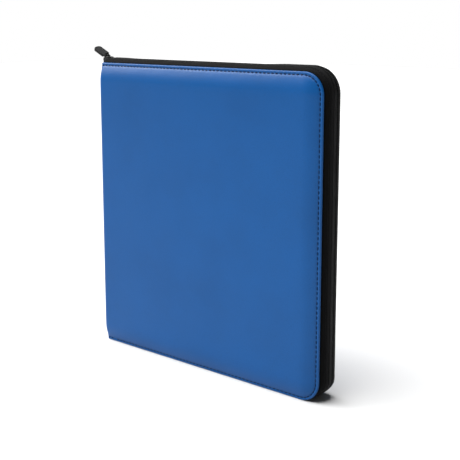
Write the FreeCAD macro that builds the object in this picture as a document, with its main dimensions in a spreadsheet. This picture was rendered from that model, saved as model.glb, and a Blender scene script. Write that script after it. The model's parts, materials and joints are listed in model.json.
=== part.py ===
import FreeCAD, Part
import math
import os
import Sketcher

# Zip-around card binder: two padded leatherette covers and a spine, joined round their
# three free edges by a fabric gusset with a zipper, and twenty pocket pages bound at the
# spine.
#
# Frame: millimetres, +Z up.  X runs from the spine to the fore-edge and Y from the front
# cover to the back cover.  The origin is the centre of the spine's bottom end.  Lengths
# that start at the spine's outer face are called "reach" and are turned into X by row_x.

SIZES = (
    # covers and spine
    ("cover_height", 360.0, "bottom edge to top edge"),
    ("cover_width", 330.0, "spine's outer face to fore-edge"),
    ("binder_depth", 38.0, "outer face of front cover to outer face of back cover"),
    ("corner_radius", 24.0, "fore-edge corners of the covers"),
    ("skin", 0.8, "leatherette"),
    ("foam", 2.0, "padding under the leatherette"),
    ("board", 2.2, "greyboard"),
    ("lining", 0.5, "lining cloth"),
    ("hinge_land", 6.0, "unstiffened strip of a cover beside the spine"),
    ("skin_start", 1.1, "reach at which a cover's leatherette starts"),
    ("spine_skin_gap", 0.3, "spine leatherette short of the outer faces"),
    ("lining_inset", 2.7, "lining short of the cover's edge"),
    # gusset and zipper
    ("band_start", 6.0, "reach at which the gusset starts"),
    ("band_skin", 0.8, "gusset fabric and zipper tape"),
    ("root_inset", 1.6, "gusset inside the cover's edge where it is glued in"),
    ("ridge_rise", 5.6, "tape outside the cover's edge, top and fore-edge"),
    ("foot_gap", 0.3, "tape above the surface the binder stands on"),
    ("tape_edge", 3.5, "middle plane to the edge of the tape"),
    ("tape_share", 0.6, "part of the way from cover to tape edge that is gusset fabric"),
    ("coil_start", 12.0, "reach at which the coil starts"),
    ("coil_gap", 1.7, "middle plane to the coil"),
    ("coil_height", 1.6, "coil, across the tape"),
    ("end_overhang", 10.0, "zipper ends past the spine's outer face"),
    ("end_reach", 5.4, "reach of the zipper ends"),
    ("end_width", 13.0, "middle plane to the zipper end's outer edge"),
    # slider and pull
    ("slider_nose", -9.5, "reach of the slider's nose with the zipper closed"),
    ("slider_length", 12.0, "slider, nose to tail"),
    ("slider_width", 9.6, "slider, side to side"),
    ("plate", 0.8, "slider's two plates"),
    ("plate_gap", 0.3, "slider plate to the tape or the coil"),
    ("post_width", 2.4, "slider's wedge between the two rows of teeth"),
    ("pivot_reach", -6.5, "reach of the pull's pivot"),
    ("link_wire", 1.1, "wire of the pull's link"),
    ("link_inner", 4.4, "inside width of the link"),
    ("link_length", 4.6, "pivot to the strap"),
    ("arch_height", 1.8, "opening under the slider's arch"),
    ("arch_length", 3.24, "opening of the slider's arch, along the zipper"),
    ("slider_corner", 1.6, "rounding of the slider's corners"),
    ("pull_length", 22.5, "pivot to the strap's tip"),
    ("strap_width", 10.0, "pull strap"),
    ("strap_thick", 3.4, "pull strap"),
    ("strap_tip", 4.2, "rounding of the strap's free corners"),
    ("strap_corner", 1.0, "rounding of the strap's corners at the link"),
    ("strap_roll", 15.0, "degrees that the strap hangs turned on its link"),
    ("pull_lean", 27.0, "degrees that the pull stands above level"),
    # pages
    ("page_width", 300.0, "page past its fold"),
    ("page_height", 304.0, "page"),
    ("page_thick", 0.5, "backing sheet with its two pocket films"),
    ("page_pitch", 1.15, "page to page at the spine"),
    ("page_radius", 4.0, "free corners of a page"),
    ("page_start", 8.7, "reach at which the first page's free part starts"),
    ("page_lead", 3.6, "last page's fold beyond the first page's"),
    ("binding_gap", 0.9, "binding strip to the free part of a page"),
)
PAGE_COUNT = 20
GUSSET_STEPS = 5

doc = FreeCAD.newDocument("card_binder")
sheet = doc.addObject("Spreadsheet::Sheet", "sizes")
for row, (alias, number, meaning) in enumerate(SIZES, start=1):
    sheet.set(f"A{row}", meaning)
    sheet.set(f"B{row}", str(number))
    sheet.setAlias(f"B{row}", alias)
doc.recompute()

# Expressions that several sub-parts share, written with the sheet's names.
SPINE_THICK = "(sizes.skin + sizes.board + sizes.lining)"
COVER_THICK = "(sizes.skin + sizes.foam + sizes.board + sizes.lining)"
SPINE_BOARD_HALF = "(sizes.binder_depth / 2 - sizes.hinge_land)"
TAPE_TOP = "(sizes.cover_height + sizes.ridge_rise)"
COIL_BOTTOM = f"({TAPE_TOP} - sizes.coil_height)"

sub_parts = {}


def value(expression):
    """The number that an expression on the sheet has now."""
    return float(sheet.evalExpression(expression))


def row_x(reach):
    """X of a point at this reach from the spine's outer face."""
    return f"({reach}) - {SPINE_THICK} / 2"


def keep(label, shape_object):
    """Gives a sub-part its name and lists it for export."""
    shape_object.Label = label
    sub_parts[label] = shape_object
    return shape_object


def place(shape_object, x, y, z):
    """Binds the place of an object to the sheet."""
    shape_object.setExpression("Placement.Base.x", x)
    shape_object.setExpression("Placement.Base.y", y)
    shape_object.setExpression("Placement.Base.z", z)


def box(name, x, y, z, length, width, height):
    """A block from its lowest corner and its three sizes."""
    block = doc.addObject("Part::Box", name)
    block.setExpression("Length", length)
    block.setExpression("Width", width)
    block.setExpression("Height", height)
    place(block, x, y, z)
    return block


def fused(name, pieces):
    """One solid from pieces that share faces."""
    whole = doc.addObject("Part::MultiFuse", name)
    whole.Shapes = pieces
    return whole


# ---------------------------------------------------------------- flat rounded panels


def origin_plane(body, role):
    """One of a body's own three planes."""
    for feature in body.Origin.OriginFeatures:
        if feature.Role == role:
            return feature
    raise RuntimeError(f"{body.Label} has no {role}")


def rounded_outline(body, name, depth, inset, width, height, radius, overrun=None):
    """A rectangle, upright in the body's XZ plane, with rounded corners on its far side.

    Its near lower corner is inset from the body's origin, or, with an overrun, it starts
    that far before the origin in X.
    """
    sketch = body.newObject("Sketcher::SketchObject", name)
    sketch.AttachmentSupport = [(origin_plane(body, "XZ_Plane"), "")]
    sketch.MapMode = "FlatFace"
    sketch.setExpression("AttachmentOffset.Base.z", f"-({depth})")
    low = value(inset)
    left = low if overrun is None else -value(overrun)
    right = left + value(width)
    high = low + value(height)
    bend = value(radius)
    up = FreeCAD.Vector(0, 0, 1)
    corners = {
        "start": FreeCAD.Vector(left, low, 0),
        "low_bend": FreeCAD.Vector(right - bend, low, 0),
        "low_right": FreeCAD.Vector(right, low + bend, 0),
        "high_right": FreeCAD.Vector(right, high - bend, 0),
        "high_bend": FreeCAD.Vector(right - bend, high, 0),
        "high_left": FreeCAD.Vector(left, high, 0),
    }
    low_circle = Part.Circle(FreeCAD.Vector(right - bend, low + bend, 0), up, bend)
    high_circle = Part.Circle(FreeCAD.Vector(right - bend, high - bend, 0), up, bend)
    bottom = sketch.addGeometry(Part.LineSegment(corners["start"], corners["low_bend"]))
    low_arc = sketch.addGeometry(Part.ArcOfCircle(low_circle, -math.pi / 2, 0))
    far = sketch.addGeometry(Part.LineSegment(corners["low_right"], corners["high_right"]))
    high_arc = sketch.addGeometry(Part.ArcOfCircle(high_circle, 0, math.pi / 2))
    top = sketch.addGeometry(Part.LineSegment(corners["high_bend"], corners["high_left"]))
    near = sketch.addGeometry(Part.LineSegment(corners["high_left"], corners["start"]))
    for first, second in ((bottom, low_arc), (low_arc, far), (far, high_arc), (high_arc, top)):
        sketch.addConstraint(Sketcher.Constraint("Tangent", first, 2, second, 1))
    for first, second in ((top, near), (near, bottom)):
        sketch.addConstraint(Sketcher.Constraint("Coincident", first, 2, second, 1))
    for line in (bottom, top):
        sketch.addConstraint(Sketcher.Constraint("Horizontal", line))
    for line in (far, near):
        sketch.addConstraint(Sketcher.Constraint("Vertical", line))
    sketch.addConstraint(Sketcher.Constraint("Equal", low_arc, high_arc))

    def dimension(kind, places, amount, expression):
        index = sketch.addConstraint(Sketcher.Constraint(kind, *places, amount))
        sketch.setExpression(f"Constraints[{index}]", expression)

    dimension("Radius", (low_arc,), bend, radius)
    dimension("DistanceX", (bottom, 1, far, 1), right - left, width)
    dimension("DistanceY", (bottom, 1, top, 2), high - low, height)
    if low == 0:
        sketch.addConstraint(Sketcher.Constraint("Coincident", bottom, 1, -1, 1))
        return sketch
    dimension("DistanceY", (-1, 1, bottom, 1), low, inset)
    if overrun is None:
        dimension("DistanceX", (-1, 1, bottom, 1), left, inset)
    else:
        dimension("DistanceX", (bottom, 1, -1, 1), -left, overrun)
    return sketch


def panel(label, reach, depth_from_face, edge, thickness, back=False):
    """A flat sheet of a cover, drawn from the hinge side to the fore-edge.

    reach is where it starts, edge is how far it stays inside the cover's outline, and
    depth_from_face is how far it lies under the cover's outer face.  A back panel is
    turned over about X, which keeps its outline because that is alike top and bottom.
    """
    body = doc.addObject("PartDesign::Body", label)
    width = f"sizes.cover_width - ({reach}) - ({edge})"
    height = f"sizes.cover_height - 2 * ({edge})"
    radius = f"sizes.corner_radius - ({edge})"
    outline = rounded_outline(body, f"{label}_outline", "0", "0", width, height, radius)
    pad = body.newObject("PartDesign::Pad", f"{label}_pad")
    pad.Profile = outline
    pad.Reversed = True
    pad.setExpression("Length", thickness)
    outline.Visibility = False
    face = f"sizes.binder_depth / 2 - ({depth_from_face})"
    if back:
        body.Placement.Rotation = FreeCAD.Rotation(FreeCAD.Vector(1, 0, 0), 180)
        place(body, row_x(reach), face, f"sizes.cover_height - ({edge})")
    else:
        place(body, row_x(reach), f"-({face})", edge)
    return keep(label, body)


def leather_tray(label, back):
    """Cover leatherette, turned over the top, fore-edge and bottom of its padding."""
    core = "sizes.foam + sizes.board"
    body = panel(label, "sizes.skin_start", "0", "0", f"sizes.skin + {core}", back)
    overrun = "sizes.hinge_land"
    hollow = rounded_outline(
        body,
        f"{label}_hollow",
        "sizes.skin",
        "sizes.skin",
        f"sizes.cover_width - sizes.skin_start - sizes.skin + {overrun}",
        "sizes.cover_height - 2 * sizes.skin",
        "sizes.corner_radius - sizes.skin",
        overrun=overrun,
    )
    doc.recompute()
    before = body.Shape.Volume
    pocket = body.newObject("PartDesign::Pocket", f"{label}_pocket")
    pocket.Profile = hollow
    pocket.setExpression("Length", core)
    doc.recompute()
    if not body.Shape.Volume < before / 2:
        raise RuntimeError(f"{label}: the pocket removed nothing")
    return body


def cover(side, back):
    """The four layers of one cover."""
    leather_tray(f"{side}_cover_leather", back)
    panel(
        f"{side}_cover_foam", "sizes.hinge_land", "sizes.skin", "sizes.skin", "sizes.foam", back
    )
    board_depth = "sizes.skin + sizes.foam"
    panel(
        f"{side}_cover_board", "sizes.hinge_land", board_depth, "sizes.skin", "sizes.board", back
    )
    panel(
        f"{side}_cover_lining",
        "sizes.hinge_land",
        f"{board_depth} + sizes.board",
        "sizes.lining_inset",
        "sizes.lining",
        back,
    )


# ---------------------------------------------------------------- spine


def spine():
    """Leatherette turned over the ends of the board, the board and its lining."""
    face_x = row_x("0")
    board_x = row_x("sizes.skin")
    board_y = f"-{SPINE_BOARD_HALF}"
    board_width = f"2 * {SPINE_BOARD_HALF}"
    strip = box(
        "spine_strip",
        face_x,
        "sizes.spine_skin_gap - sizes.binder_depth / 2",
        "0",
        "sizes.skin",
        "sizes.binder_depth - 2 * sizes.spine_skin_gap",
        "sizes.cover_height",
    )
    low_turn = box("spine_turn_low", board_x, board_y, "0", "sizes.board", board_width, "sizes.skin")
    high_turn = box(
        "spine_turn_high",
        board_x,
        board_y,
        "sizes.cover_height - sizes.skin",
        "sizes.board",
        board_width,
        "sizes.skin",
    )
    keep("spine_leather", fused("spine_leather", [strip, low_turn, high_turn]))
    board = box(
        "spine_board",
        board_x,
        board_y,
        "sizes.skin",
        "sizes.board",
        board_width,
        "sizes.cover_height - 2 * sizes.skin",
    )
    keep("spine_board", board)
    lining = box(
        "spine_lining",
        row_x("sizes.skin + sizes.board"),
        board_y,
        "sizes.lining_inset",
        "sizes.lining",
        board_width,
        "sizes.cover_height - 2 * sizes.lining_inset",
    )
    keep("spine_lining", lining)


def fold_lead(number):
    """How far beyond the first page's fold this page's fold lies.

    The folds lie on a curve, steep at the front, so that each turned page has room for
    its thickness behind the one before it.
    """
    behind = (PAGE_COUNT - number) / (PAGE_COUNT - 1)
    return f"(sizes.page_lead * {1 - behind ** 3:.4f})"


def page_y(number):
    """Y of the middle of a page at rest."""
    return f"({number - (PAGE_COUNT + 1) / 2} * sizes.page_pitch)"


def page_binding():
    """The strip on the spine's lining that the margins of all the pages are sewn into.

    Its free edge follows the pages' folds.
    """
    near = value(row_x(SPINE_THICK))
    half = value(f"{PAGE_COUNT} * sizes.page_pitch / 2")
    edge = [
        (
            value(row_x(f"sizes.page_start + {fold_lead(number)} - sizes.binding_gap")),
            value(page_y(number)),
        )
        for number in range(1, PAGE_COUNT + 1)
    ]
    outline = [(near, -half), (edge[0][0], -half), *edge, (edge[-1][0], half), (near, half)]
    low = value("(sizes.cover_height - sizes.page_height) / 2")
    corners = [FreeCAD.Vector(x, y, low) for x, y in outline]
    face = Part.Face(Part.makePolygon(corners + corners[:1]))
    feature = doc.addObject("Part::Feature", "page_binding")
    feature.Shape = face.extrude(FreeCAD.Vector(0, 0, value("sizes.page_height")))
    feature.Placement = FreeCAD.Placement()
    keep("page_binding", feature)


def zipper_ends():
    """The ends of the two tapes, fixed to the top and bottom of the spine."""
    strips = []
    leg_y = f"{SPINE_BOARD_HALF} / 2"
    leg_width = f"sizes.end_width - {leg_y}"
    for side, low in (("front", "-sizes.end_width"), ("back", "sizes.tape_edge")):
        strip = box(
            f"end_strip_{side}",
            row_x("-sizes.end_overhang"),
            low,
            f"{TAPE_TOP} - sizes.band_skin",
            "sizes.end_overhang + sizes.end_reach",
            "sizes.end_width - sizes.tape_edge",
            "sizes.band_skin",
        )
        leg = box(
            f"end_leg_{side}",
            row_x("0"),
            "-sizes.end_width" if side == "front" else leg_y,
            "sizes.cover_height",
            SPINE_THICK,
            leg_width,
            "sizes.ridge_rise - sizes.band_skin",
        )
        strips.append(fused(f"end_{side}", [strip, leg]))
    pair = doc.addObject("Part::Compound", "zipper_end_top")
    pair.Links = strips
    keep("zipper_end_top", pair)
    tab = box(
        "zipper_end_bottom",
        row_x(SPINE_THICK),
        "-sizes.end_width",
        "sizes.foot_gap",
        f"sizes.end_reach - {SPINE_THICK}",
        "2 * sizes.end_width",
        "sizes.band_skin",
    )
    keep("zipper_end_bottom", tab)


# ---------------------------------------------------------------- gusset and zipper


def band_wire(start, plane_y, rise, drop, thickness):
    """A thin U in the plane y = plane_y, along the top, the fore-edge and the bottom.

    It begins at X = start.  Its outer line runs rise outside the cover's outline at the
    top and fore-edge, and drop outside it at the bottom.
    """
    far = value(row_x("sizes.cover_width"))
    height = value("sizes.cover_height")
    corner = value("sizes.corner_radius")

    def run(inward):
        """The corner points of one line of the U, from the top to the bottom."""
        top = height + rise - inward
        fore = far + rise - inward
        foot = inward - drop
        high_bend = corner + rise - inward
        low_bend = corner + (rise + drop) / 2 - inward
        slope = 1 - math.sqrt(0.5)
        return [
            (start, top),
            (fore - high_bend, top),
            (fore - high_bend * slope, top - high_bend * slope),
            (fore, top - high_bend),
            (fore, foot + low_bend),
            (fore - low_bend * slope, foot + low_bend * slope),
            (fore - low_bend, foot),
            (start, foot),
        ]

    def edges(points):
        spots = [FreeCAD.Vector(x, plane_y, z) for x, z in points]
        return [
            Part.makeLine(spots[0], spots[1]),
            Part.Arc(spots[1], spots[2], spots[3]).toShape(),
            Part.makeLine(spots[3], spots[4]),
            Part.Arc(spots[4], spots[5], spots[6]).toShape(),
            Part.makeLine(spots[6], spots[7]),
        ]

    outer = run(0)
    inner = run(thickness)
    closing = [
        Part.makeLine(
            FreeCAD.Vector(outer[end][0], plane_y, outer[end][1]),
            FreeCAD.Vector(inner[end][0], plane_y, inner[end][1]),
        )
        for end in (-1, 0)
    ]
    return Part.Wire(edges(outer) + [closing[0]] + edges(inner[::-1]) + [closing[1]])


def band(label, side, reach, stations, thickness):
    """A solid through U-shaped sections: each station is (distance from the middle
    plane, rise, drop)."""
    start = value(row_x(reach))
    wires = [
        band_wire(start, side * away, rise, drop, thickness) for away, rise, drop in stations
    ]
    solid = Part.makeLoft(wires, True, True)
    feature = doc.addObject("Part::Feature", label)
    feature.Shape = solid
    feature.Placement = FreeCAD.Placement()
    keep(label, feature)


def gusset_half(name, side):
    """Gusset fabric and its half of the zipper tape, arched out from the cover's edge."""
    root = value(f"sizes.binder_depth / 2 - {COVER_THICK} + sizes.lining")
    edge = value("sizes.tape_edge")
    inset = value("sizes.root_inset")
    rise = value("sizes.ridge_rise")
    floor_drop = -value("sizes.foot_gap")
    stations = []
    for step in range(GUSSET_STEPS + 1):
        share = step / GUSSET_STEPS
        arch = math.sin(share * math.pi / 2)
        stations.append(
            (
                root + (edge - root) * share,
                -inset + (rise + inset) * arch,
                -inset + (floor_drop + inset) * arch,
            )
        )
    seam = round(GUSSET_STEPS * value("sizes.tape_share"))
    skin = value("sizes.band_skin")
    band(f"{name}_gusset", side, "sizes.band_start", stations[: seam + 1], skin)
    band(f"{name}_zip_tape", side, "sizes.band_start", stations[seam:], skin)


def coil_half(label, side):
    """One row of the coil zipper's teeth, as the bar that the coil fills."""
    rise = value("sizes.ridge_rise")
    floor_drop = -value("sizes.foot_gap")
    ends = (value("sizes.tape_edge"), value("sizes.coil_gap"))
    stations = [(away, rise, floor_drop) for away in ends]
    band(label, side, "sizes.coil_start", stations, value("sizes.coil_height"))


# ---------------------------------------------------------------- slider and pull


PLATE_TOP = f"({TAPE_TOP} + sizes.plate_gap + sizes.plate)"
PIVOT_Z = f"({PLATE_TOP} + sizes.arch_height / 2)"


def slider():
    """Two plates over and under the tape, the wedge between them and the pull's arch."""
    nose = row_x("sizes.slider_nose")
    side = "-sizes.slider_width / 2"
    plate_size = ("sizes.slider_length", "sizes.slider_width", "sizes.plate")
    low_plate_top = f"({COIL_BOTTOM} - sizes.plate_gap)"
    upper = box("slider_upper", nose, side, f"{TAPE_TOP} + sizes.plate_gap", *plate_size)
    lower = box("slider_lower", nose, side, f"{low_plate_top} - sizes.plate", *plate_size)
    wedge = box(
        "slider_wedge",
        row_x("sizes.slider_nose + sizes.plate"),
        "-sizes.post_width / 2",
        low_plate_top,
        "sizes.post_width",
        "sizes.post_width",
        f"{TAPE_TOP} + sizes.plate_gap - {low_plate_top}",
    )
    arch_thick = "sizes.plate"
    half_opening = "(sizes.arch_length / 2)"
    arch_width = "2 * sizes.plate"
    legs = []
    for name, start in (
        ("nose", f"sizes.pivot_reach - {half_opening} - {arch_thick}"),
        ("tail", f"sizes.pivot_reach + {half_opening}"),
    ):
        legs.append(
            box(
                f"arch_{name}",
                row_x(start),
                f"-{arch_width} / 2",
                PLATE_TOP,
                arch_thick,
                arch_width,
                "sizes.arch_height",
            )
        )
    beam = box(
        "arch_beam",
        row_x(f"sizes.pivot_reach - {half_opening} - {arch_thick}"),
        f"-{arch_width} / 2",
        f"{PLATE_TOP} + sizes.arch_height",
        f"2 * ({half_opening} + {arch_thick})",
        arch_width,
        arch_thick,
    )
    block = fused("slider_block", [upper, lower, wedge, *legs, beam])
    doc.recompute()
    rounded = doc.addObject("Part::Fillet", "slider_body")
    rounded.Base = block
    corner = value("sizes.slider_corner")
    ends = (value(nose), value(nose) + value("sizes.slider_length"))
    half = value("sizes.slider_width") / 2
    picked = []
    for index, edge in enumerate(block.Shape.Edges, start=1):
        middle = edge.CenterOfMass
        upright = abs(edge.tangentAt(edge.FirstParameter).z) > 0.99
        at_end = min(abs(middle.x - end) for end in ends) < 0.01
        if upright and at_end and abs(abs(middle.y) - half) < 0.01:
            picked.append((index, corner, corner))
    rounded.Edges = picked
    keep("slider_body", rounded)


def turned_with_pull(shape_object, local_x, local_y, local_z, roll="0"):
    """Places an object drawn along the pull: local X from the pivot to the tip."""
    lean = FreeCAD.Rotation(FreeCAD.Vector(0, 1, 0), 180 + value("sizes.pull_lean"))
    turn = lean.multiply(FreeCAD.Rotation(FreeCAD.Vector(1, 0, 0), -value(roll)))
    shift = turn.multVec(FreeCAD.Vector(value(local_x), value(local_y), value(local_z)))
    pivot = FreeCAD.Vector(value(row_x("sizes.pivot_reach")), 0, value(PIVOT_Z))
    shape_object.Placement = FreeCAD.Placement(pivot + shift, turn)
    return shape_object


def pull():
    """The wire link that turns in the slider's arch, and the strap on it."""
    wire = "sizes.link_wire"
    outer = f"(sizes.link_inner + 2 * {wire})"
    bar = doc.addObject("Part::Cylinder", "link_bar")
    bar.setExpression("Radius", f"{wire} / 2")
    bar.setExpression("Height", outer)
    pieces = [bar]
    for name in ("front", "back"):
        arm = doc.addObject("Part::Box", f"link_arm_{name}")
        arm.setExpression("Length", "sizes.link_length")
        arm.setExpression("Width", wire)
        arm.setExpression("Height", wire)
        pieces.append(arm)
    cross = doc.addObject("Part::Box", "link_cross")
    cross.setExpression("Length", wire)
    cross.setExpression("Width", outer)
    cross.setExpression("Height", wire)
    pieces.append(cross)
    turned_with_pull(bar, "0", f"-{outer} / 2", "0")
    along_y = FreeCAD.Rotation(FreeCAD.Vector(1, 0, 0), -90)
    bar.Placement = FreeCAD.Placement(bar.Placement.Base, along_y)
    turned_with_pull(pieces[1], "0", f"-{outer} / 2", f"-{wire} / 2")
    turned_with_pull(pieces[2], "0", "sizes.link_inner / 2", f"-{wire} / 2")
    turned_with_pull(cross, f"sizes.link_length - {wire}", f"-{outer} / 2", f"-{wire} / 2")
    keep("pull_link", fused("pull_link", pieces))

    strap = doc.addObject("Part::Box", "strap_block")
    strap.setExpression("Length", "sizes.pull_length - sizes.link_length")
    strap.setExpression("Width", "sizes.strap_width")
    strap.setExpression("Height", "sizes.strap_thick")
    doc.recompute()
    rounded = doc.addObject("Part::Fillet", "pull_strap")
    rounded.Base = strap
    tip_x = value("sizes.pull_length - sizes.link_length")
    bends = {True: value("sizes.strap_tip"), False: value("sizes.strap_corner")}
    rounded.Edges = [
        (index, bends[edge.CenterOfMass.x > tip_x / 2], bends[edge.CenterOfMass.x > tip_x / 2])
        for index, edge in enumerate(strap.Shape.Edges, start=1)
        if abs(edge.tangentAt(edge.FirstParameter).z) > 0.99
    ]
    turned_with_pull(
        rounded,
        "sizes.link_length",
        "-sizes.strap_width / 2",
        "-sizes.strap_thick / 2",
        "sizes.strap_roll",
    )
    keep("pull_strap", rounded)


# ---------------------------------------------------------------- pages


def page(number):
    """One pocket page, from its fold at the binding strip to its free edge."""
    label = f"page_{number:02d}"
    body = doc.addObject("PartDesign::Body", label)
    outline = rounded_outline(
        body,
        f"{label}_outline",
        "0",
        "0",
        "sizes.page_width",
        "sizes.page_height",
        "sizes.page_radius",
    )
    pad = body.newObject("PartDesign::Pad", f"{label}_pad")
    pad.Profile = outline
    pad.Reversed = True
    pad.setExpression("Length", "sizes.page_thick")
    outline.Visibility = False
    place(
        body,
        row_x(f"sizes.page_start + {fold_lead(number)}"),
        f"{page_y(number)} - sizes.page_thick / 2",
        "(sizes.cover_height - sizes.page_height) / 2",
    )
    keep(label, body)


# ---------------------------------------------------------------- the whole binder


spine()
page_binding()
zipper_ends()
for side_name, is_back, side_sign in (("front", False, -1), ("back", True, 1)):
    cover(side_name, is_back)
    gusset_half(side_name, side_sign)
    coil_half(f"{side_name}_zip_coil", side_sign)
slider()
pull()
for page_number in range(1, PAGE_COUNT + 1):
    page(page_number)
doc.recompute()

for item in doc.Objects:
    if "Invalid" in item.State or "Error" in item.State:
        raise RuntimeError(f"{item.Name} is {item.State}")
for label, item in sub_parts.items():
    if item.Shape.isNull() or not item.Shape.isValid():
        raise RuntimeError(f"{label} has no valid shape")

os.makedirs("parts", exist_ok=True)
for label, item in sub_parts.items():
    item.Shape.exportStep(f"parts/{label}.step")
    limits = item.Shape.BoundBox
    corner_low = tuple(round(number, 2) for number in (limits.XMin, limits.YMin, limits.ZMin))
    corner_high = tuple(round(number, 2) for number in (limits.XMax, limits.YMax, limits.ZMax))
    print(label, len(item.Shape.Solids), round(item.Shape.Volume), corner_low, corner_high)
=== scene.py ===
import json
import math

import bmesh
import bpy
import numpy as np
from mathutils import Matrix, Vector

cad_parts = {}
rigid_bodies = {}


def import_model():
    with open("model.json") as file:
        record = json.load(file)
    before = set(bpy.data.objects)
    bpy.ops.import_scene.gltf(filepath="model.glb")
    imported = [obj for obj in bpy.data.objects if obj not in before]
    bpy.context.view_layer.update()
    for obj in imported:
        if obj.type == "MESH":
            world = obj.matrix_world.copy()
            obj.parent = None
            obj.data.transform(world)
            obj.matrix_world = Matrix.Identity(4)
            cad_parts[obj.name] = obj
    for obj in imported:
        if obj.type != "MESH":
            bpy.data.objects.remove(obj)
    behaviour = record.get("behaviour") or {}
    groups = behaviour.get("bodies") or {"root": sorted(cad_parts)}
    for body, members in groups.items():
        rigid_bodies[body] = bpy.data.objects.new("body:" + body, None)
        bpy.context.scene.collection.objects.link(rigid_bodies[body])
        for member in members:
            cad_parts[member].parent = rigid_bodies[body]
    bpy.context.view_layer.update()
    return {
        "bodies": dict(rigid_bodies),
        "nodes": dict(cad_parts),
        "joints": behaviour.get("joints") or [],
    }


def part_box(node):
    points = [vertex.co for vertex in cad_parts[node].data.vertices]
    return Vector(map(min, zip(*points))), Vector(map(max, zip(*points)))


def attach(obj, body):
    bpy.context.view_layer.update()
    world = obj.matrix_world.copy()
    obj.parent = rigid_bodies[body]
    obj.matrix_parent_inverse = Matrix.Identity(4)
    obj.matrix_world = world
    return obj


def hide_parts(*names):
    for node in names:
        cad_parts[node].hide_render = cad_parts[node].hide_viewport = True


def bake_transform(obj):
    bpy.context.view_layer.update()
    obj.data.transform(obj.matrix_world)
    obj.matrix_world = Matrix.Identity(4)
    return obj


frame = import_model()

bl_info = {
    "name": "Zip-around card binder",
    "version": (1, 0, 0),
    "blender": (4, 5, 0),
    "location": "3D View > Sidebar > Binder",
    "description": "Dresses a padded zip-around binder for collector cards",
    "category": "Object",
}

MM = 0.001
JOINTS = {joint["name"]: joint for joint in frame["joints"]}
SIDES = (("front", -1), ("back", 1))

# Boxes of the CAD nodes that the pieces are fitted to, in metres.
SKIN_LOW, SKIN_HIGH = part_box("front_cover_leather")
SPINE_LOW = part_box("spine_leather")[0]
LINING_LOW, LINING_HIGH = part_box("front_cover_lining")
TAPE_LOW, TAPE_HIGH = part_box("front_zip_tape")
SLIDER_LOW, SLIDER_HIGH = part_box("slider_body")
END_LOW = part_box("zipper_end_top")[0]
STRAP_LOW, STRAP_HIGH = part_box("pull_strap")

# Places that several pieces share.
SPINE_FACE = SPINE_LOW.x
FORE_EDGE = SKIN_HIGH.x
COVER_TOP = SKIN_HIGH.z
FACE_Y = -SKIN_LOW.y
BOARD_Y = -SKIN_HIGH.y
LINING_INNER = min(abs(LINING_LOW.y), abs(LINING_HIGH.y))
RIDGE_TOP = TAPE_HIGH.z - COVER_TOP
FOOT_GAP = TAPE_LOW.z
PIVOT = Vector(JOINTS["pull_hinge"]["pos_m"])

# Where one piece takes over from the next.
HINGE_END_X = SPINE_FACE + 12 * MM
SPINE_SPLIT = FACE_Y - 10 * MM
ROOT_Y = 13.55 * MM
ROOT_INSET = 1.9 * MM
TAPE_EDGE_Y = 3.3 * MM
SEAM_SHARE = 0.44
TURN_IN = -0.35 * MM
STITCH_SINK = 0.12 * MM

# The pull's strap, along its own length from the pivot.
STRAP_START, STRAP_END = 2.9 * MM, 22.2 * MM
STRAP_HALF_WIDTH, STRAP_HALF_THICK = 5.2 * MM, 1.8 * MM
STRAP_ROLL = math.radians(15)

# Thicknesses, and the angles in degrees over which an edge stays sharp.
LEATHER_THICK = 0.5 * MM
GUSSET_THICK = 0.45 * MM
TAPE_THICK = 0.4 * MM
HARD_ANGLE = 42.0
SOFT_ANGLE = 60.0
CLOTH_ANGLE = 70.0


# ---------------------------------------------------------------- settings


def length(name, description, value):
    """A length that the sidebar shows with its unit."""
    return bpy.props.FloatProperty(
        name=name, description=description, default=value, min=0.0, precision=4, unit="LENGTH"
    )


def colour(name, description, value):
    """A colour, in linear values."""
    return bpy.props.FloatVectorProperty(
        name=name, description=description, default=value, size=3, min=0.0, max=1.0, subtype="COLOR"
    )


class BinderCoverSettings(bpy.types.PropertyGroup):
    """Sizes of the padded covers."""

    corner_radius: length("Corner radius", "Fore-edge corners of the covers", 24 * MM)
    rim_thickness: length("Rim", "Thickness of the pinched rim outside the stitching", 3.0 * MM)
    crown_height: length("Crown", "How far the padding stands above the rim", 4.3 * MM)
    crown_width: length("Crown run", "Distance over which the padding rises", 20.0 * MM)
    spine_radius: length("Spine radius", "Rounding between a cover and the spine", 4.6 * MM)
    leather: colour("Leatherette", "Colour of the leatherette", (0.0014, 0.067, 0.236))


class BinderStitchSettings(bpy.types.PropertyGroup):
    """Sizes of the sewing."""

    inset: length("Inset", "Stitch line to the cover's edge", 3.4 * MM)
    pitch: length("Pitch", "One stitch to the next", 5.45 * MM)
    gap: length("Gap", "Leatherette between two stitches", 2.0 * MM)
    thread: length("Thread", "Thickness of the thread", 1.0 * MM)
    thread_colour: colour("Thread colour", "Colour of the thread", (0.0006, 0.011, 0.048))


class BinderZipperSettings(bpy.types.PropertyGroup):
    """Sizes of the gusset and the zipper."""

    fore_rise_top: length("Upper bulge", "Bulge of the fore-edge at the top", 5.4 * MM)
    fore_rise_low: length("Lower bulge", "Bulge of the fore-edge at the bottom", 5.0 * MM)
    slack: length("Slack", "How far the zipper sinks between its ends", 0.7 * MM)
    coil_pitch: length("Coil pitch", "One turn of the coil to the next", 1.7 * MM)
    coil_wire: length("Coil wire", "Thickness of the coil's wire", 0.66 * MM)
    fabric: colour("Gusset fabric", "Colour of the gusset fabric", (0.0017, 0.0017, 0.0019))
    tape: colour("Zipper tape", "Colour of the zipper tape", (0.0021, 0.0021, 0.0023))


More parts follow.
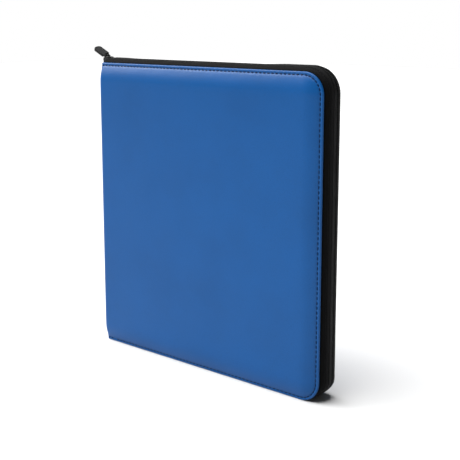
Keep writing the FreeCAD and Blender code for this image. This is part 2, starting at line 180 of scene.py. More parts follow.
class BinderPageSettings(bpy.types.PropertyGroup):
    """Sizes of the pocket pages."""

    columns: bpy.props.IntProperty(
        name="Columns", description="Pockets across a page", default=4, min=1
    )
    rows: bpy.props.IntProperty(name="Rows", description="Pockets down a page", default=3, min=1)
    margin: length("Margin", "Fold to the first pocket", 17 * MM)
    border: length("Border", "Outer pockets to the page's free edges", 3.5 * MM)
    seam: length("Weld", "Width of a welded seam", 2.4 * MM)
    sheet: colour("Backing", "Colour of the backing sheet", (0.012, 0.012, 0.014))


class BinderStageSettings(bpy.types.PropertyGroup):
    """Light, floor and camera."""

    camera_spot: bpy.props.FloatVectorProperty(
        name="Camera", description="Where the camera stands", size=3, unit="LENGTH",
        default=(0.83836, -0.79446, 0.41462),
    )
    camera_turn: bpy.props.FloatProperty(
        name="Turn", description="How far the camera looks to the left of straight on",
        default=math.radians(39.147), unit="ROTATION",
    )
    camera_dip: bpy.props.FloatProperty(
        name="Dip", description="How far the camera looks down", default=math.radians(9.555),
        unit="ROTATION",
    )
    lens: bpy.props.FloatProperty(
        name="Lens", description="Focal length", default=70.75, unit="CAMERA"
    )
    floor_colour: colour("Floor", "Colour of the floor", (0.62, 0.62, 0.62))
    overhead: bpy.props.FloatProperty(
        name="Overhead", description="Strength of the wide light overhead", default=6.6, min=0.0
    )
    key: bpy.props.FloatProperty(
        name="Key", description="Strength of the light from the left", default=1.9, min=0.0
    )
    surround: bpy.props.FloatProperty(
        name="Surround", description="Strength of the light from all round", default=0.1, min=0.0
    )


# ---------------------------------------------------------------- meshes


def mesh_object(name, points, faces, material, smooth_angle=HARD_ANGLE):
    """An object from points and faces, shaded smooth except over sharp edges."""
    mesh = bpy.data.meshes.new(name)
    mesh.from_pydata([tuple(point) for point in points], [], [tuple(face) for face in faces])
    work = bmesh.new()
    work.from_mesh(mesh)
    bmesh.ops.remove_doubles(work, verts=work.verts, dist=1e-6)
    bmesh.ops.dissolve_degenerate(work, edges=work.edges, dist=1e-7)
    bmesh.ops.recalc_face_normals(work, faces=work.faces)
    work.to_mesh(mesh)
    work.free()
    thing = bpy.data.objects.new(name, mesh)
    bpy.context.scene.collection.objects.link(thing)
    shade(thing, smooth_angle)
    thing.data.materials.append(material)
    return thing


def shade(thing, smooth_angle=HARD_ANGLE):
    """Smooth shading that breaks at edges sharper than the angle, in degrees."""
    for polygon in thing.data.polygons:
        polygon.use_smooth = True
    thing.data.set_sharp_from_angle(angle=math.radians(smooth_angle))


def grid_faces(rows, columns, wrap=False):
    """Quads over a grid of points; wrap joins the last column to the first."""
    faces = []
    last = columns if wrap else columns - 1
    for row in range(rows - 1):
        for column in range(last):
            after = (column + 1) % columns
            low = row * columns
            high = low + columns
            faces.append((low + column, low + after, high + after, high + column))
    return faces


def tube_faces(rings, sides):
    """Quads round a tube of rings, and a face over each of its ends."""
    faces = grid_faces(rings, sides, wrap=True)
    faces.append(tuple(range(sides))[::-1])
    faces.append(tuple(range((rings - 1) * sides, rings * sides)))
    return faces


def grid_object(name, grid, material, wrap=False, caps=False, smooth_angle=HARD_ANGLE):
    """An object from a rows x columns x 3 array of points."""
    grid = np.asarray(grid, float)
    rows, columns = grid.shape[:2]
    faces = tube_faces(rows, columns) if caps else grid_faces(rows, columns, wrap)
    return mesh_object(name, grid.reshape(-1, 3), faces, material, smooth_angle)


def apply_modifiers(thing, smooth_angle):
    """Turns the object's modifiers into mesh."""
    bpy.context.view_layer.update()
    graph = bpy.context.evaluated_depsgraph_get()
    made = bpy.data.meshes.new_from_object(thing.evaluated_get(graph))
    made.name = thing.name
    thing.modifiers.clear()
    thing.data = made
    shade(thing, smooth_angle)
    return thing


def face_outward(thing):
    """Turns an open surface's faces away from the middle of the binder."""
    middle = Vector((FORE_EDGE / 2, 0, COVER_TOP / 2))
    work = bmesh.new()
    work.from_mesh(thing.data)
    away = sum(
        face.normal.dot(face.calc_center_median() - middle) * face.calc_area()
        for face in work.faces
    )
    if away < 0:
        bmesh.ops.reverse_faces(work, faces=work.faces)
        work.to_mesh(thing.data)
    work.free()


def thicken(thing, thickness, offset=-1.0, smooth_angle=HARD_ANGLE):
    """Gives an open surface its thickness, on its inner side."""
    face_outward(thing)
    solid = thing.modifiers.new("thickness", "SOLIDIFY")
    solid.thickness = thickness
    solid.offset = offset
    solid.use_even_offset = False
    return apply_modifiers(thing, smooth_angle)


def rounded(thing, width, segments=3):
    """Rounds the sharp edges of a solid."""
    bevel = thing.modifiers.new("rounding", "BEVEL")
    bevel.width = width
    bevel.segments = segments
    bevel.limit_method = "ANGLE"
    bevel.angle_limit = math.radians(35.0)
    bevel.harden_normals = False
    return apply_modifiers(thing, HARD_ANGLE)


def unit(rows):
    """Rows of numbers, each scaled to a length of 1."""
    return rows / np.linalg.norm(rows, axis=1)[:, None]


def tube_object(name, path, radius, sides, material, closed=False, up=(0, 0, 1)):
    """A round bar along a path; the radius is one number, or one for each point."""
    path = np.asarray(path, float)
    if closed:
        along = unit(np.roll(path, -1, axis=0) - np.roll(path, 1, axis=0))
    else:
        along = unit(np.gradient(path, axis=0))
    side = np.cross(along, np.asarray(up, float))
    upright = np.linalg.norm(side, axis=1) < 1e-6
    side[upright] = np.cross(along[upright], (0.0, 1.0, 0.0))
    side = unit(side)
    over = np.cross(side, along)
    turn = np.linspace(0, 2 * math.pi, sides, endpoint=False)[None, :, None]
    radius = np.broadcast_to(radius, (len(path),))[:, None, None]
    rings = (
        path[:, None]
        + radius * np.cos(turn) * side[:, None]
        + radius * np.sin(turn) * over[:, None]
    )
    if closed:
        rings = np.concatenate([rings, rings[:1]])
    return grid_object(name, rings, material, wrap=True, caps=not closed)


def joined(name, things, material):
    """One object from several."""
    work = bmesh.new()
    for thing in things:
        work.from_mesh(thing.data)
    mesh = bpy.data.meshes.new(name)
    work.to_mesh(mesh)
    work.free()
    whole = bpy.data.objects.new(name, mesh)
    bpy.context.scene.collection.objects.link(whole)
    whole.data.materials.append(material)
    for thing in things:
        bpy.data.objects.remove(thing)
    shade(whole)
    return whole


def settle(piece, body, node=None):
    """Attaches a piece to the body that it rides on, and hides the CAD node that it stands for."""
    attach(piece, body)
    if node:
        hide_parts(node)


def at_depth(spots, depth):
    """Points from (x, z) spots, all at one depth y or each at its own."""
    return np.stack([spots[:, 0], np.broadcast_to(depth, len(spots)), spots[:, 1]], 1)


def bent(value, power):
    """A sine or cosine raised to a power, with its sign kept, for squarish curves."""
    return math.copysign(abs(value) ** power, value)


def smoothstep(low, high, amount):
    """0 below low, 1 above high and a smooth rise between."""
    share = np.clip((np.asarray(amount, float) - low) / (high - low), 0, 1)
    return share * share * (3 - 2 * share)


def waves(points, seed, size):
    """Slow random height between about -1 and 1 over points, the same on every run."""
    draw = np.random.default_rng(seed)
    total = np.zeros(len(points))
    for octave in range(5):
        direction = draw.normal(size=3)
        direction /= np.linalg.norm(direction)
        phase = draw.uniform(0, 2 * math.pi)
        total += np.sin(points @ direction * (2 * math.pi / size) * 1.37 ** octave + phase)
    return total / 3


# ---------------------------------------------------------------- the covers' outline


def rim_line(spacing, start):
    """The cover's outline from the hinge side round the fore-edge and back.

    Returns the points (x, z), their outward directions and the length along the line.
    """
    radius = bpy.context.scene.binder_cover.corner_radius
    far = FORE_EDGE - radius
    straight = max(2, round((far - start) / spacing) + 1)
    fore = max(2, round((COVER_TOP - 2 * radius) / spacing) + 1)
    bend = max(6, round(radius * math.pi / 2 / spacing * 1.6) + 1)
    points, outward = [], []

    def run(spots, ways, skip):
        points.extend(spots[skip:])
        outward.extend(ways[skip:])

    def line(from_spot, to_spot, way, count, skip):
        share = np.linspace(0, 1, count)[:, None]
        spots = np.asarray(from_spot) * (1 - share) + np.asarray(to_spot) * share
        run(list(spots), [np.asarray(way, float)] * count, skip)

    def arc(middle, from_angle, to_angle, skip):
        angle = np.radians(np.linspace(from_angle, to_angle, bend))
        ways = np.stack([np.cos(angle), np.sin(angle)], 1)
        run(list(np.asarray(middle) + radius * ways), list(ways), skip)

    line((start, COVER_TOP), (far, COVER_TOP), (0, 1), straight, 0)
    arc((far, COVER_TOP - radius), 90, 0, 1)
    line((FORE_EDGE, COVER_TOP - radius), (FORE_EDGE, radius), (1, 0), fore, 1)
    arc((far, radius), 0, -90, 1)
    line((far, 0), (start, 0), (0, -1), straight, 1)
    points, outward = np.array(points), np.array(outward)
    steps = np.linalg.norm(np.diff(points, axis=0), axis=1)
    return points, outward, np.concatenate([[0], np.cumsum(steps)])


def resampled(values, along, wanted):
    """Columns of values, known along a line, at other lengths on it."""
    return np.stack([np.interp(wanted, along, column) for column in values.T], 1)


def crown(inset):
    """Height of the leatherette over the board's inner face, this far inside the edge."""
    cover = bpy.context.scene.binder_cover
    stitch = bpy.context.scene.binder_stitch.inset
    run = np.clip((inset - stitch) / cover.crown_width, 0, 1)
    return cover.rim_thickness + cover.crown_height * (1 - (1 - run) ** 2)


def rim_profile():
    """(inset, height) over the rim: from the turned-in edge, round the edge to the sewing."""
    rim = bpy.context.scene.binder_cover.rim_thickness
    stitch = bpy.context.scene.binder_stitch.inset
    half = (rim - TURN_IN) / 2
    middle = (rim + TURN_IN) / 2
    profile = [(9 * MM, TURN_IN), (5 * MM, TURN_IN), (half + 0.8 * MM, TURN_IN)]
    for step in range(9):
        angle = math.pi / 2 * (step / 4 - 1)
        bulge = abs(math.cos(angle)) ** 0.8
        profile.append((half * (1 - bulge), middle + half * math.sin(angle)))
    return profile + [(stitch - 1.2 * MM, rim + 0.02 * MM), (stitch - 0.6 * MM, rim)]


def field_insets():
    """Insets of the rows between the sewing and the field, closer where the crown bends."""
    stitch = bpy.context.scene.binder_stitch.inset
    steps = (0, 0.6, 1.3, 2.2, 3.4, 5.0, 7.2, 10.0, 13.4, 16.8, 20.0)
    return [stitch + step * MM for step in steps]


def towards_middle(edge):
    """The line at mid height that the rows inside the crown close up to."""
    middle_z = COVER_TOP / 2
    return np.stack(
        [np.minimum(edge[:, 0], FORE_EDGE - middle_z), np.full(len(edge), middle_z)], 1
    )


def sewn_dip(inset, along):
    """The groove under the thread, deeper at each hole."""
    stitch = bpy.context.scene.binder_stitch
    groove_width, groove_depth, hole_depth = 1.1 * MM, 0.12, 0.5
    beside = np.exp(-(((inset - stitch.inset) / groove_width) ** 2))
    under_thread = 0.5 - 0.5 * np.cos(2 * math.pi * along / stitch.pitch)
    return -(groove_depth + hole_depth * under_thread) * MM * beside


def cover_skin(name, side, material):
    """The leatherette of one cover, from the hinge to the fore-edge, turned in all round."""
    stitch = bpy.context.scene.binder_stitch
    outline, outward, along = rim_line(stitch.pitch / 2, HINGE_END_X)
    profile = rim_profile() + [(inset, crown(inset)) for inset in field_insets()]
    rows = [
        at_depth(outline - outward * inset, side * (BOARD_Y + height + sewn_dip(inset, along)))
        for inset, height in profile
    ]
    last = field_insets()[-1]
    edge = outline - outward * last
    target = towards_middle(edge)
    inner_steps, field_rise = 16, 0.35 * MM
    for step in range(1, inner_steps + 1):
        share = (step / inner_steps) ** 1.25
        height = crown(last + share * (COVER_TOP / 2 - last))
        height += field_rise * math.sin(share * math.pi / 2)
        rows.append(at_depth(edge * (1 - share) + target * share, side * (BOARD_Y + height)))
    grid = np.array(rows)
    flat = grid.reshape(-1, 3)
    inside = np.minimum.reduce([FORE_EDGE - flat[:, 0], COVER_TOP - flat[:, 2], flat[:, 2]])
    calm = smoothstep(5 * MM, 30 * MM, inside)
    hinge_calm = smoothstep(HINGE_END_X, HINGE_END_X + 30 * MM, flat[:, 0])
    outer = np.abs(flat[:, 1]) > BOARD_Y + 2 * MM
    swell_height, swell_size, swell_seed = 0.14 * MM, 0.19, 11 if side < 0 else 12
    pucker_height, pucker_size, pucker_seed = 0.05 * MM, 0.017, 21
    swell = swell_height * waves(flat, swell_seed, swell_size) * calm * hinge_calm * outer
    pucker = pucker_height * waves(flat, pucker_seed, pucker_size) * outer * hinge_calm
    pucker *= np.exp(-((inside - 7 * MM) / (5 * MM)) ** 2)
    flat[:, 1] += side * (swell + pucker)
    skin = grid_object(name, flat.reshape(grid.shape), material, smooth_angle=SOFT_ANGLE)
    return thicken(skin, LEATHER_THICK, smooth_angle=SOFT_ANGLE)


def padding(label, side, material):
    """The foam pad of one cover: crowned, and pinched flat towards the sewing."""
    stitch = bpy.context.scene.binder_stitch
    foam_low, foam_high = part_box(f"{label}_cover_foam")
    outline, outward, _ = rim_line(6 * MM, foam_low.x + 4 * MM)
    base = min(abs(foam_low.y), abs(foam_high.y)) + 0.02 * MM
    under_skin = 0.75 * MM
    start = stitch.inset + 0.9 * MM
    insets = [start + step * MM for step in (0, 0.8, 2, 3.6, 5.6, 8.6, 12.4, 16.4, 19.1)]
    rows = [(outline - outward * (start + 0.4 * MM), base)]
    for inset in insets:
        rows.append((outline - outward * inset, max(BOARD_Y + crown(inset) - under_skin, base)))
    edge = outline - outward * insets[-1]
    target = towards_middle(edge)
    full = rows[-1][1]
    for step in range(1, 9):
        share = step / 8
        rows.append((edge * (1 - share) + target * share, full))
    top = [at_depth(spots, side * depth) for spots, depth in rows]
    bottom = [at_depth(spots, side * base) for spots, _ in rows[::-1]]
    pad = grid_object(f"{label}_cover_padding", np.array(top + bottom[1:]), material)
    work = bmesh.new()
    work.from_mesh(pad.data)
    bmesh.ops.holes_fill(work, edges=[edge for edge in work.edges if edge.is_boundary])
    bmesh.ops.recalc_face_normals(work, faces=work.faces)
    work.to_mesh(pad.data)
    work.free()
    shade(pad)
    return pad


# ---------------------------------------------------------------- spine and hinges


def wrap_path(side, from_y):
    """The outside of the wrap, from a cover's hinge end round the corner to the spine.

    Each station is (x, y, outward x, outward y, share of the spine).
    """
    radius = bpy.context.scene.binder_cover.spine_radius
    middle_x, middle_y = SPINE_FACE + radius, side * (FACE_Y - radius)
    stations = [
        (x, side * FACE_Y, 0.0, side, 0.0) for x in np.linspace(HINGE_END_X, middle_x, 5)
    ]
    steps = 9
    for step in range(1, steps + 1):
        share = step / steps
        angle = math.pi / 2 * share
        way = (-math.sin(angle), side * math.cos(angle))
        stations.append((middle_x + radius * way[0], middle_y + radius * way[1], *way, share))
    for y in np.linspace(middle_y, from_y, 5)[1:]:
        stations.append((SPINE_FACE, y, -1.0, 0.0, 1.0))
    return stations


def wrap_section(spine_share, along):
    """(z, height over the outer face) across the wrap from the bottom to the top.

    On a cover the section has the cover's pinched rim; on the spine it is the bare board.
    """
    rim = bpy.context.scene.binder_cover.rim_thickness
    cover_share = 1 - spine_share
    full = FACE_Y - BOARD_Y
    spine_inner, spine_outer = full - 3.3 * MM, full - 0.1 * MM
    half = []
    for inset, height in rim_profile():
        share = (height - TURN_IN) / (rim - TURN_IN)
        on_spine = spine_inner + share * (spine_outer - spine_inner)
        outside = inset > 2 * MM and share > 0.5
        dip = sewn_dip(inset, along) * cover_share if outside else 0
        half.append((inset, height * cover_share + on_spine * spine_share + dip))
    insets = field_insets()
    for inset in insets:
        height = float(crown(inset)) + sewn_dip(inset, along) * cover_share
        half.append((inset, height * cover_share + full * spine_share))
    lift = float(crown(insets[-1])) + 0.1 * MM
    for share in (0.12, 0.3, 0.6, 1.0):
        inset = insets[-1] + share * (COVER_TOP / 2 - insets[-1])
        half.append((inset, lift * cover_share + full * spine_share))
    section = [(inset, height - full) for inset, height in half]
    return section + [(COVER_TOP - inset, height) for inset, height in section[-2::-1]]


def wrap_piece(name, stations, material):
    """Leatherette over these stations of the wrap."""
    steps = [math.dist(start[:2], end[:2]) for start, end in zip(stations, stations[1:])]
    travelled = np.concatenate([[0.0], np.cumsum(steps)])
    rows = []
    for (x, y, out_x, out_y, share), along in zip(stations, travelled):
        section = wrap_section(float(smoothstep(0.15, 0.95, share)), along)
        rows.append([(x + out_x * height, y + out_y * height, z) for z, height in section])
    piece = grid_object(name, rows, material, smooth_angle=SOFT_ANGLE)
    return thicken(piece, LEATHER_THICK, smooth_angle=SOFT_ANGLE)


def blend_over_hinge(piece):
    """Bakes the transform of a piece of the outside between a cover and the spine into its mesh."""
    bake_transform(piece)


def hinge_skins(material):
    """The leatherette over the corners between each cover and the spine, and the spine's own."""
    for label, side in SIDES:
        stations = wrap_path(side, side * SPINE_SPLIT)
        piece = wrap_piece(f"{label}_hinge_leather", stations, material)
        blend_over_hinge(piece)
    flat = [(SPINE_FACE, y, -1.0, 0.0, 1.0) for y in np.linspace(-SPINE_SPLIT, SPINE_SPLIT, 9)]
    settle(wrap_piece("spine_wrap", flat, material), "spine", "spine_leather")


def hinge_linings(material):
    """Cloth inside each hinge, from the spine's lining to the cover's."""
    spine_low, spine_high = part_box("spine_lining")
    spine_x, spine_y = spine_high.x + 0.05 * MM, abs(spine_low.y)
    for label, side in SIDES:
        cover_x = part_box(f"{label}_cover_lining")[0].x
        cover_y = side * (LINING_INNER + 0.02 * MM)
        corner = (spine_x, side * spine_y)
        fold = (spine_high.x + 1.6 * MM, cover_y)
        halfway = ((corner[0] + fold[0]) / 2 + 0.3 * MM, (corner[1] + fold[1]) / 2)
        path = np.array([
            (spine_x, side * (spine_y - 5 * MM)), corner, halfway, fold, (cover_x, cover_y),
            (cover_x + 7 * MM, cover_y - side * 0.06 * MM),
        ])
        share = np.linspace(0, len(path) - 1, 22)
        spots = resampled(path, range(len(path)), share)
        heights = np.linspace(LINING_LOW.z + 1 * MM, LINING_HIGH.z - 1 * MM, 40)
        grid = [[(x, y, z) for z in heights] for x, y in spots]
        piece = thicken(
            grid_object(f"{label}_hinge_lining", grid, material), 0.25 * MM, offset=0
        )
        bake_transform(piece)


# ---------------------------------------------------------------- stitching


def short_threads(name, centres, tangents, normals, half, arch, sides, flat, material, angle):
    """Separate short threads that rise and dip.

    The arch lists each ring's place along the thread (-1 to 1), its rise and its radius.
    """
    shares, lifts, girths = (column[None, :, None, None] for column in np.array(arch).T)
    turn = np.linspace(0, 2 * math.pi, sides, endpoint=False)[None, None, :, None]
    across = np.cross(tangents, normals)[:, None, None, :]
    centres, tangents, normals = (
        np.asarray(rows)[:, None, None, :] for rows in (centres, tangents, normals)
    )
    points = centres + tangents * (shares * half) + normals * lifts
    points = points + girths * (np.cos(turn) * across + np.sin(turn) * normals * flat)
    per = len(arch) * sides
    faces = [
        tuple(thread * per + index for index in face)
        for thread in range(len(points)) for face in tube_faces(len(arch), sides)
    ]
    return mesh_object(name, points.reshape(-1, 3), faces, material, smooth_angle=angle)


def stitch_run(name, centres, tangents, normals, material):
    """Stitches: each a short arched thread that dips into the leatherette."""
    stitch = bpy.context.scene.binder_stitch
    radius = stitch.thread / 2
    half_arch = [(1.0, -0.55, 0.5), (0.86, -0.12, 0.9), (0.55, 0.1, 1.0)]
    arch = [(-share, lift * MM, girth * radius) for share, lift, girth in half_arch]
    arch += [(0.0, 0.16 * MM, radius)]
    arch += [(share, lift * MM, girth * radius) for share, lift, girth in half_arch[::-1]]
    half = (stitch.pitch - stitch.gap) / 2 + 0.25 * MM
    thread = short_threads(
        name, centres, tangents, normals, half, arch, 8, 0.85, material, CLOTH_ANGLE
    )
    return thread


def cover_stitches(label, side, material):
    """The row of stitches round a cover, on its outside and on its lining."""
    stitch = bpy.context.scene.binder_stitch
    rim = bpy.context.scene.binder_cover.rim_thickness
    outline, outward, along = rim_line(2 * MM, HINGE_END_X)
    count = int(along[-1] / stitch.pitch)
    spots = (np.arange(count) + 0.5) * stitch.pitch
    sewing = outline - outward * stitch.inset
    line = resampled(sewing, along, spots)
    tangents = at_depth(unit(resampled(sewing, along, spots + 0.2 * MM) - line), 0.0)
    for place, depth, way in (
        ("outer", BOARD_Y + rim - STITCH_SINK, side),
        ("inner", LINING_INNER - 0.02 * MM, -side),
    ):
        normals = np.tile([0.0, float(way), 0.0], (count, 1))
        thread = stitch_run(
            f"{label}_{place}_stitches", at_depth(line, side * depth), tangents, normals, material
        )
        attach(thread, f"{label}_cover")


def hinge_stitches(label, side, material):
    """The few stitches that run on from the cover over the hinge, top and bottom."""
    stitch = bpy.context.scene.binder_stitch
    rim = bpy.context.scene.binder_cover.rim_thickness
    depth = side * (BOARD_Y + rim - STITCH_SINK)
    xs = [HINGE_END_X - (step + 0.5) * stitch.pitch for step in range(2)]
    xs = [x for x in xs if x > SPINE_FACE + 2.2 * MM]
    tangents = np.tile([1.0, 0.0, 0.0], (len(xs), 1))
    normals = np.tile([0.0, float(side), 0.0], (len(xs), 1))
    for place, z in (("top", COVER_TOP - stitch.inset), ("bottom", stitch.inset)):
        centres = np.array([(x, depth, z) for x in xs])
        thread = stitch_run(f"{label}_hinge_stitches_{place}", centres, tangents, normals, material)
        blend_over_hinge(thread)


# ---------------------------------------------------------------- gusset and zipper


def ridge_rise(points, outward):
    """How far the zipper stands outside the covers' edge at each point of the outline."""
    zipper = bpy.context.scene.binder_zipper
    xs, zs = points[:, 0], points[:, 1]
    up = np.clip(outward[:, 1], -1, 1)
    low = COVER_TOP * 0.06
    share = smoothstep(low, COVER_TOP - low, zs)
    fore = zipper.fore_rise_low + (zipper.fore_rise_top - zipper.fore_rise_low) * share
    top_part = smoothstep(0.0, 1.0, up)
    low_part = smoothstep(0.0, 1.0, -up)
    rise = fore * (1 - top_part - low_part) + RIDGE_TOP * top_part - FOOT_GAP * low_part
    sag = (0.2 * MM * np.sin(xs / 0.083 + 1.0) - zipper.slack) * top_part
    from_spine = smoothstep(12 * MM, 50 * MM, xs)
    to_corner = 1 - smoothstep(235 * MM, 272 * MM, xs)
    return rise + sag * from_spine * to_corner


def arch_height(share):
    """Height of the gusset's arch, 0 to 1, at a share of the way from root to tape edge."""
    return math.sqrt(max(0.0, 1 - abs(1 - share) ** 2.3))


def arch_row(outline, outward, side, share, lift=0.0):
    """Points of the gusset's arch at a share of the way from the cover to the tape edge."""
    rise = ridge_rise(outline, outward)
    offset = -ROOT_INSET + (rise + ROOT_INSET) * arch_height(share) + lift
    depth = ROOT_Y + (TAPE_EDGE_Y - ROOT_Y) * share
    return at_depth(outline + outward * offset[:, None], side * depth)


def stretched_cloth(name, grid, thickness, material, label, node):
    """Cloth from a grid of rows along the cover's edge, sewn down and held stretched."""
    cloth = grid_object(name, grid, material, smooth_angle=CLOTH_ANGLE)
    thicken(cloth, thickness, smooth_angle=CLOTH_ANGLE)
    settle(cloth, f"{label}_cover", node)


def gusset_cloth(label, side, material):
    """Gusset fabric from under the lining to its hem on the zipper tape."""
    outline, outward, along = rim_line(3.4 * MM, TAPE_LOW.x)
    rows = [
        at_depth(outline - outward * inset * MM, side * (ROOT_Y + depth * MM))
        for inset, depth in ((8.5, 0.05), (2.9, 0.04))
    ]
    arch = [(share, 0.0) for share in (0.0, 0.02, 0.055, 0.1, 0.16, 0.23, 0.3, 0.36, 0.405)]
    hem = [(SEAM_SHARE - 0.012, 0.22), (SEAM_SHARE, 0.12), (SEAM_SHARE + 0.004, -0.12)]
    for share, lift in arch + hem:
        rows.append(arch_row(outline, outward, side, share, lift * MM))
    grid = np.array(rows)
    soft = 0.16 * MM * waves(grid.reshape(-1, 3), 31 if side < 0 else 32, 0.055)
    swing = np.sin(np.linspace(0, math.pi, len(rows))) ** 2
    grid[:, :, 1] += (soft.reshape(grid.shape[:2]) * swing[:, None]) * side
    stretched_cloth(f"{label}_gusset_cloth", grid, GUSSET_THICK, material, label,
                    f"{label}_gusset")


def tape_cloth(label, side, material):
    """Half of the zipper tape, from under the gusset's hem to the teeth."""
    outline, outward, along = rim_line(3.4 * MM, TAPE_LOW.x)
    under_hem = [(share, -0.5) for share in (0.05, 0.14, 0.24, 0.34, 0.4)]
    open_part = [(share, -0.04) for share in (0.46, 0.5, 0.56, 0.64, 0.72, 0.8, 0.87, 0.92)]
    rolled_edge = [(0.94, 0.10), (0.96, 0.28), (0.98, 0.34), (1.0, 0.28), (1.015, 0.0)]
    grid = np.array([
        arch_row(outline, outward, side, share, lift * MM)
        for share, lift in under_hem + open_part + rolled_edge
    ])
    stretched_cloth(f"{label}_tape_cloth", grid, TAPE_THICK, material, label,
                    f"{label}_zip_tape")


def gusset_seam(label, side, material):
    """The row of small stitches along the gusset's hem."""
    outline, outward, along = rim_line(2 * MM, TAPE_LOW.x)
    line = arch_row(outline, outward, side, SEAM_SHARE - 0.1, 0.1 * MM)
    pitch, half, radius, reach = 2.6 * MM, 0.8 * MM, 0.18 * MM, 0.3 * MM
    count = int(along[-1] / pitch)
    spots = (np.arange(count) + 0.5) * pitch
    ahead = unit(resampled(line, along, spots + reach) - resampled(line, along, spots - reach))
    way = resampled(outward, along, spots)
    normals = np.stack([way[:, 0] * 0.8, np.full(count, side * 0.6), way[:, 1] * 0.8], 1)
    arch = [(share, lift * MM, radius) for share, lift in (
        (-1.0, -0.2), (-0.7, 0.02), (0.0, 0.06), (0.7, 0.02), (1.0, -0.2),
    )]
    seam = short_threads(f"{label}_gusset_seam", resampled(line, along, spots), ahead, normals,
                         half, arch, 5, 1.0, material, 80)
    settle(seam, f"{label}_cover")


def coil_teeth(label, side, material):
    """One row of coil teeth: a helix of nylon wire that reaches past the middle plane."""
    zipper = bpy.context.scene.binder_zipper
    outline, outward, along = rim_line(2 * MM, SLIDER_HIGH.x + 0.6 * MM)
    turns = int(along[-1] / zipper.coil_pitch)
    per_turn = 9
    phase = np.arange(turns * per_turn) / per_turn
    half_turn = 0.0 if side < 0 else 0.5
    spots = np.clip((phase + half_turn) * zipper.coil_pitch, 0, along[-1])
    line = resampled(outline, along, spots)
    way = unit(resampled(outward, along, spots))
    rise = resampled(ridge_rise(outline, outward)[:, None], along, spots)[:, 0] - 0.62 * MM
    angle = 2 * math.pi * phase
    half_height, half_width, middle_y, cord_y = 0.52 * MM, 2.05 * MM, 1.42 * MM, 1.9 * MM
    places = line + way * (rise + half_height * np.sin(angle))[:, None]
    path = at_depth(places, side * (middle_y + half_width * np.cos(angle)))
    fat = zipper.coil_wire / 2 * (1 + 0.22 * np.clip(-np.cos(angle), 0, 1))
    coil = tube_object(f"{label}_coil_teeth", path, fat, 6, material, up=(0.31, 0.0, 0.95))
    settle(coil, f"{label}_cover", f"{label}_zip_coil")
    cord = at_depth((line + way * rise[:, None])[::per_turn], side * cord_y)
    core = tube_object(f"{label}_coil_cord", cord, 0.24 * MM, 6, material)
    settle(core, f"{label}_cover")


def end_strip(side, start_rise, material):
    """A tape's end, from the arch over the spine to its rounded tip past the spine."""
    inner_edge, tip_width = 3.4 * MM, 6.6 * MM
    rows = []
    for x in np.linspace(TAPE_LOW.x + 0.2 * MM, END_LOW.x + 0.2 * MM, 14):
        past = float(smoothstep(SPINE_FACE + 3 * MM, END_LOW.x, x))
        tip = max(0.0, (SPINE_FACE - x) / (SPINE_FACE - END_LOW.x))
        outer = ROOT_Y - 0.4 * MM
        outer += (tip_width * math.sqrt(max(0.0, 1 - tip ** 3)) - outer) * past
        outer = max(outer, 3.7 * MM)
        inner = inner_edge if x < SLIDER_HIGH.x + 0.5 * MM else 0.35 * MM
        row = []
        for share in np.linspace(0.0, 1.0, 12):
            rise = -ROOT_INSET + (start_rise + ROOT_INSET) * arch_height(share)
            rise = rise * (1 - past) + (start_rise - 0.05 * MM) * past
            row.append((x, side * (outer + (inner - outer) * share), COVER_TOP + rise))
        rows.append(row)
    return thicken(grid_object("strip", rows, material), 0.5 * MM)


def end_wall(side, start_rise, material):
    """The fold that closes the arch at the spine, under a tape's end."""
    columns = 8
    points = []
    for x in (1.25 * MM, 1.7 * MM):
        for share in np.linspace(0.0, 0.8, columns):
            y = side * (ROOT_Y - 0.4 * MM + (3.4 * MM - ROOT_Y) * share)
            top = -ROOT_INSET + (start_rise + ROOT_INSET) * arch_height(share)
            points += [(x, y, COVER_TOP - ROOT_INSET * 0.2), (x, y, COVER_TOP + top)]
    per = 2 * columns
    faces = [(0, 1, per + 1, per), (per - 2, 2 * per - 2, 2 * per - 1, per - 1)]
    for low in range(0, per - 2, 2):
        for layer in (0, per):
            faces.append((layer + low, layer + low + 2, layer + low + 3, layer + low + 1))
        faces.append((low + 1, low + 3, per + low + 3, per + low + 1))
        faces.append((low, per + low, per + low + 2, low + 2))
    return mesh_object("wall", points, faces, material)


def zipper_ends(material):
    """The two tape ends that reach over the top of the spine."""
    outline, outward, _ = rim_line(4 * MM, TAPE_LOW.x)
    start_rise = float(ridge_rise(outline[:1], outward[:1])[0])
    parts = []
    for _, side in SIDES:
        parts.append(end_strip(side, start_rise, material))
        parts.append(end_wall(side, start_rise, material))
    ends = joined("zipper_end_tapes", parts, material)
    settle(ends, "spine", "zipper_end_top")


# ---------------------------------------------------------------- slider and pull


def prism(name, outline, low, high, material):
    """A flat plate from an outline of (x, y) points."""
    count = len(outline)
    points = [(x, y, low) for x, y in outline] + [(x, y, high) for x, y in outline]
    faces = [tuple(range(count))[::-1], tuple(range(count, 2 * count))]
    for index in range(count):
        after = (index + 1) % count
        faces.append((index, after, count + after, count + index))
    return mesh_object(name, points, faces, material)


def slider_outline(scale=1.0):
    """The slider from above: wide shoulders at the nose, a waist and a narrower tail."""
    middle = (SLIDER_LOW.x + SLIDER_HIGH.x) / 2
    half_length, half_width = (SLIDER_HIGH.x - SLIDER_LOW.x) / 2, SLIDER_HIGH.y
    points = []
    for step in range(48):
        angle = 2 * math.pi * step / 48
        x, y = bent(math.cos(angle), 0.55), bent(math.sin(angle), 0.6)
        taper = 1.0 - 0.2 * float(smoothstep(-0.3, 1.0, x))
        notch = 1.0 - 0.16 * math.exp(-((y / 0.32) ** 2)) * (x < -0.4)
        points.append((middle + half_length * x * notch * scale, half_width * y * taper * scale))
    return points


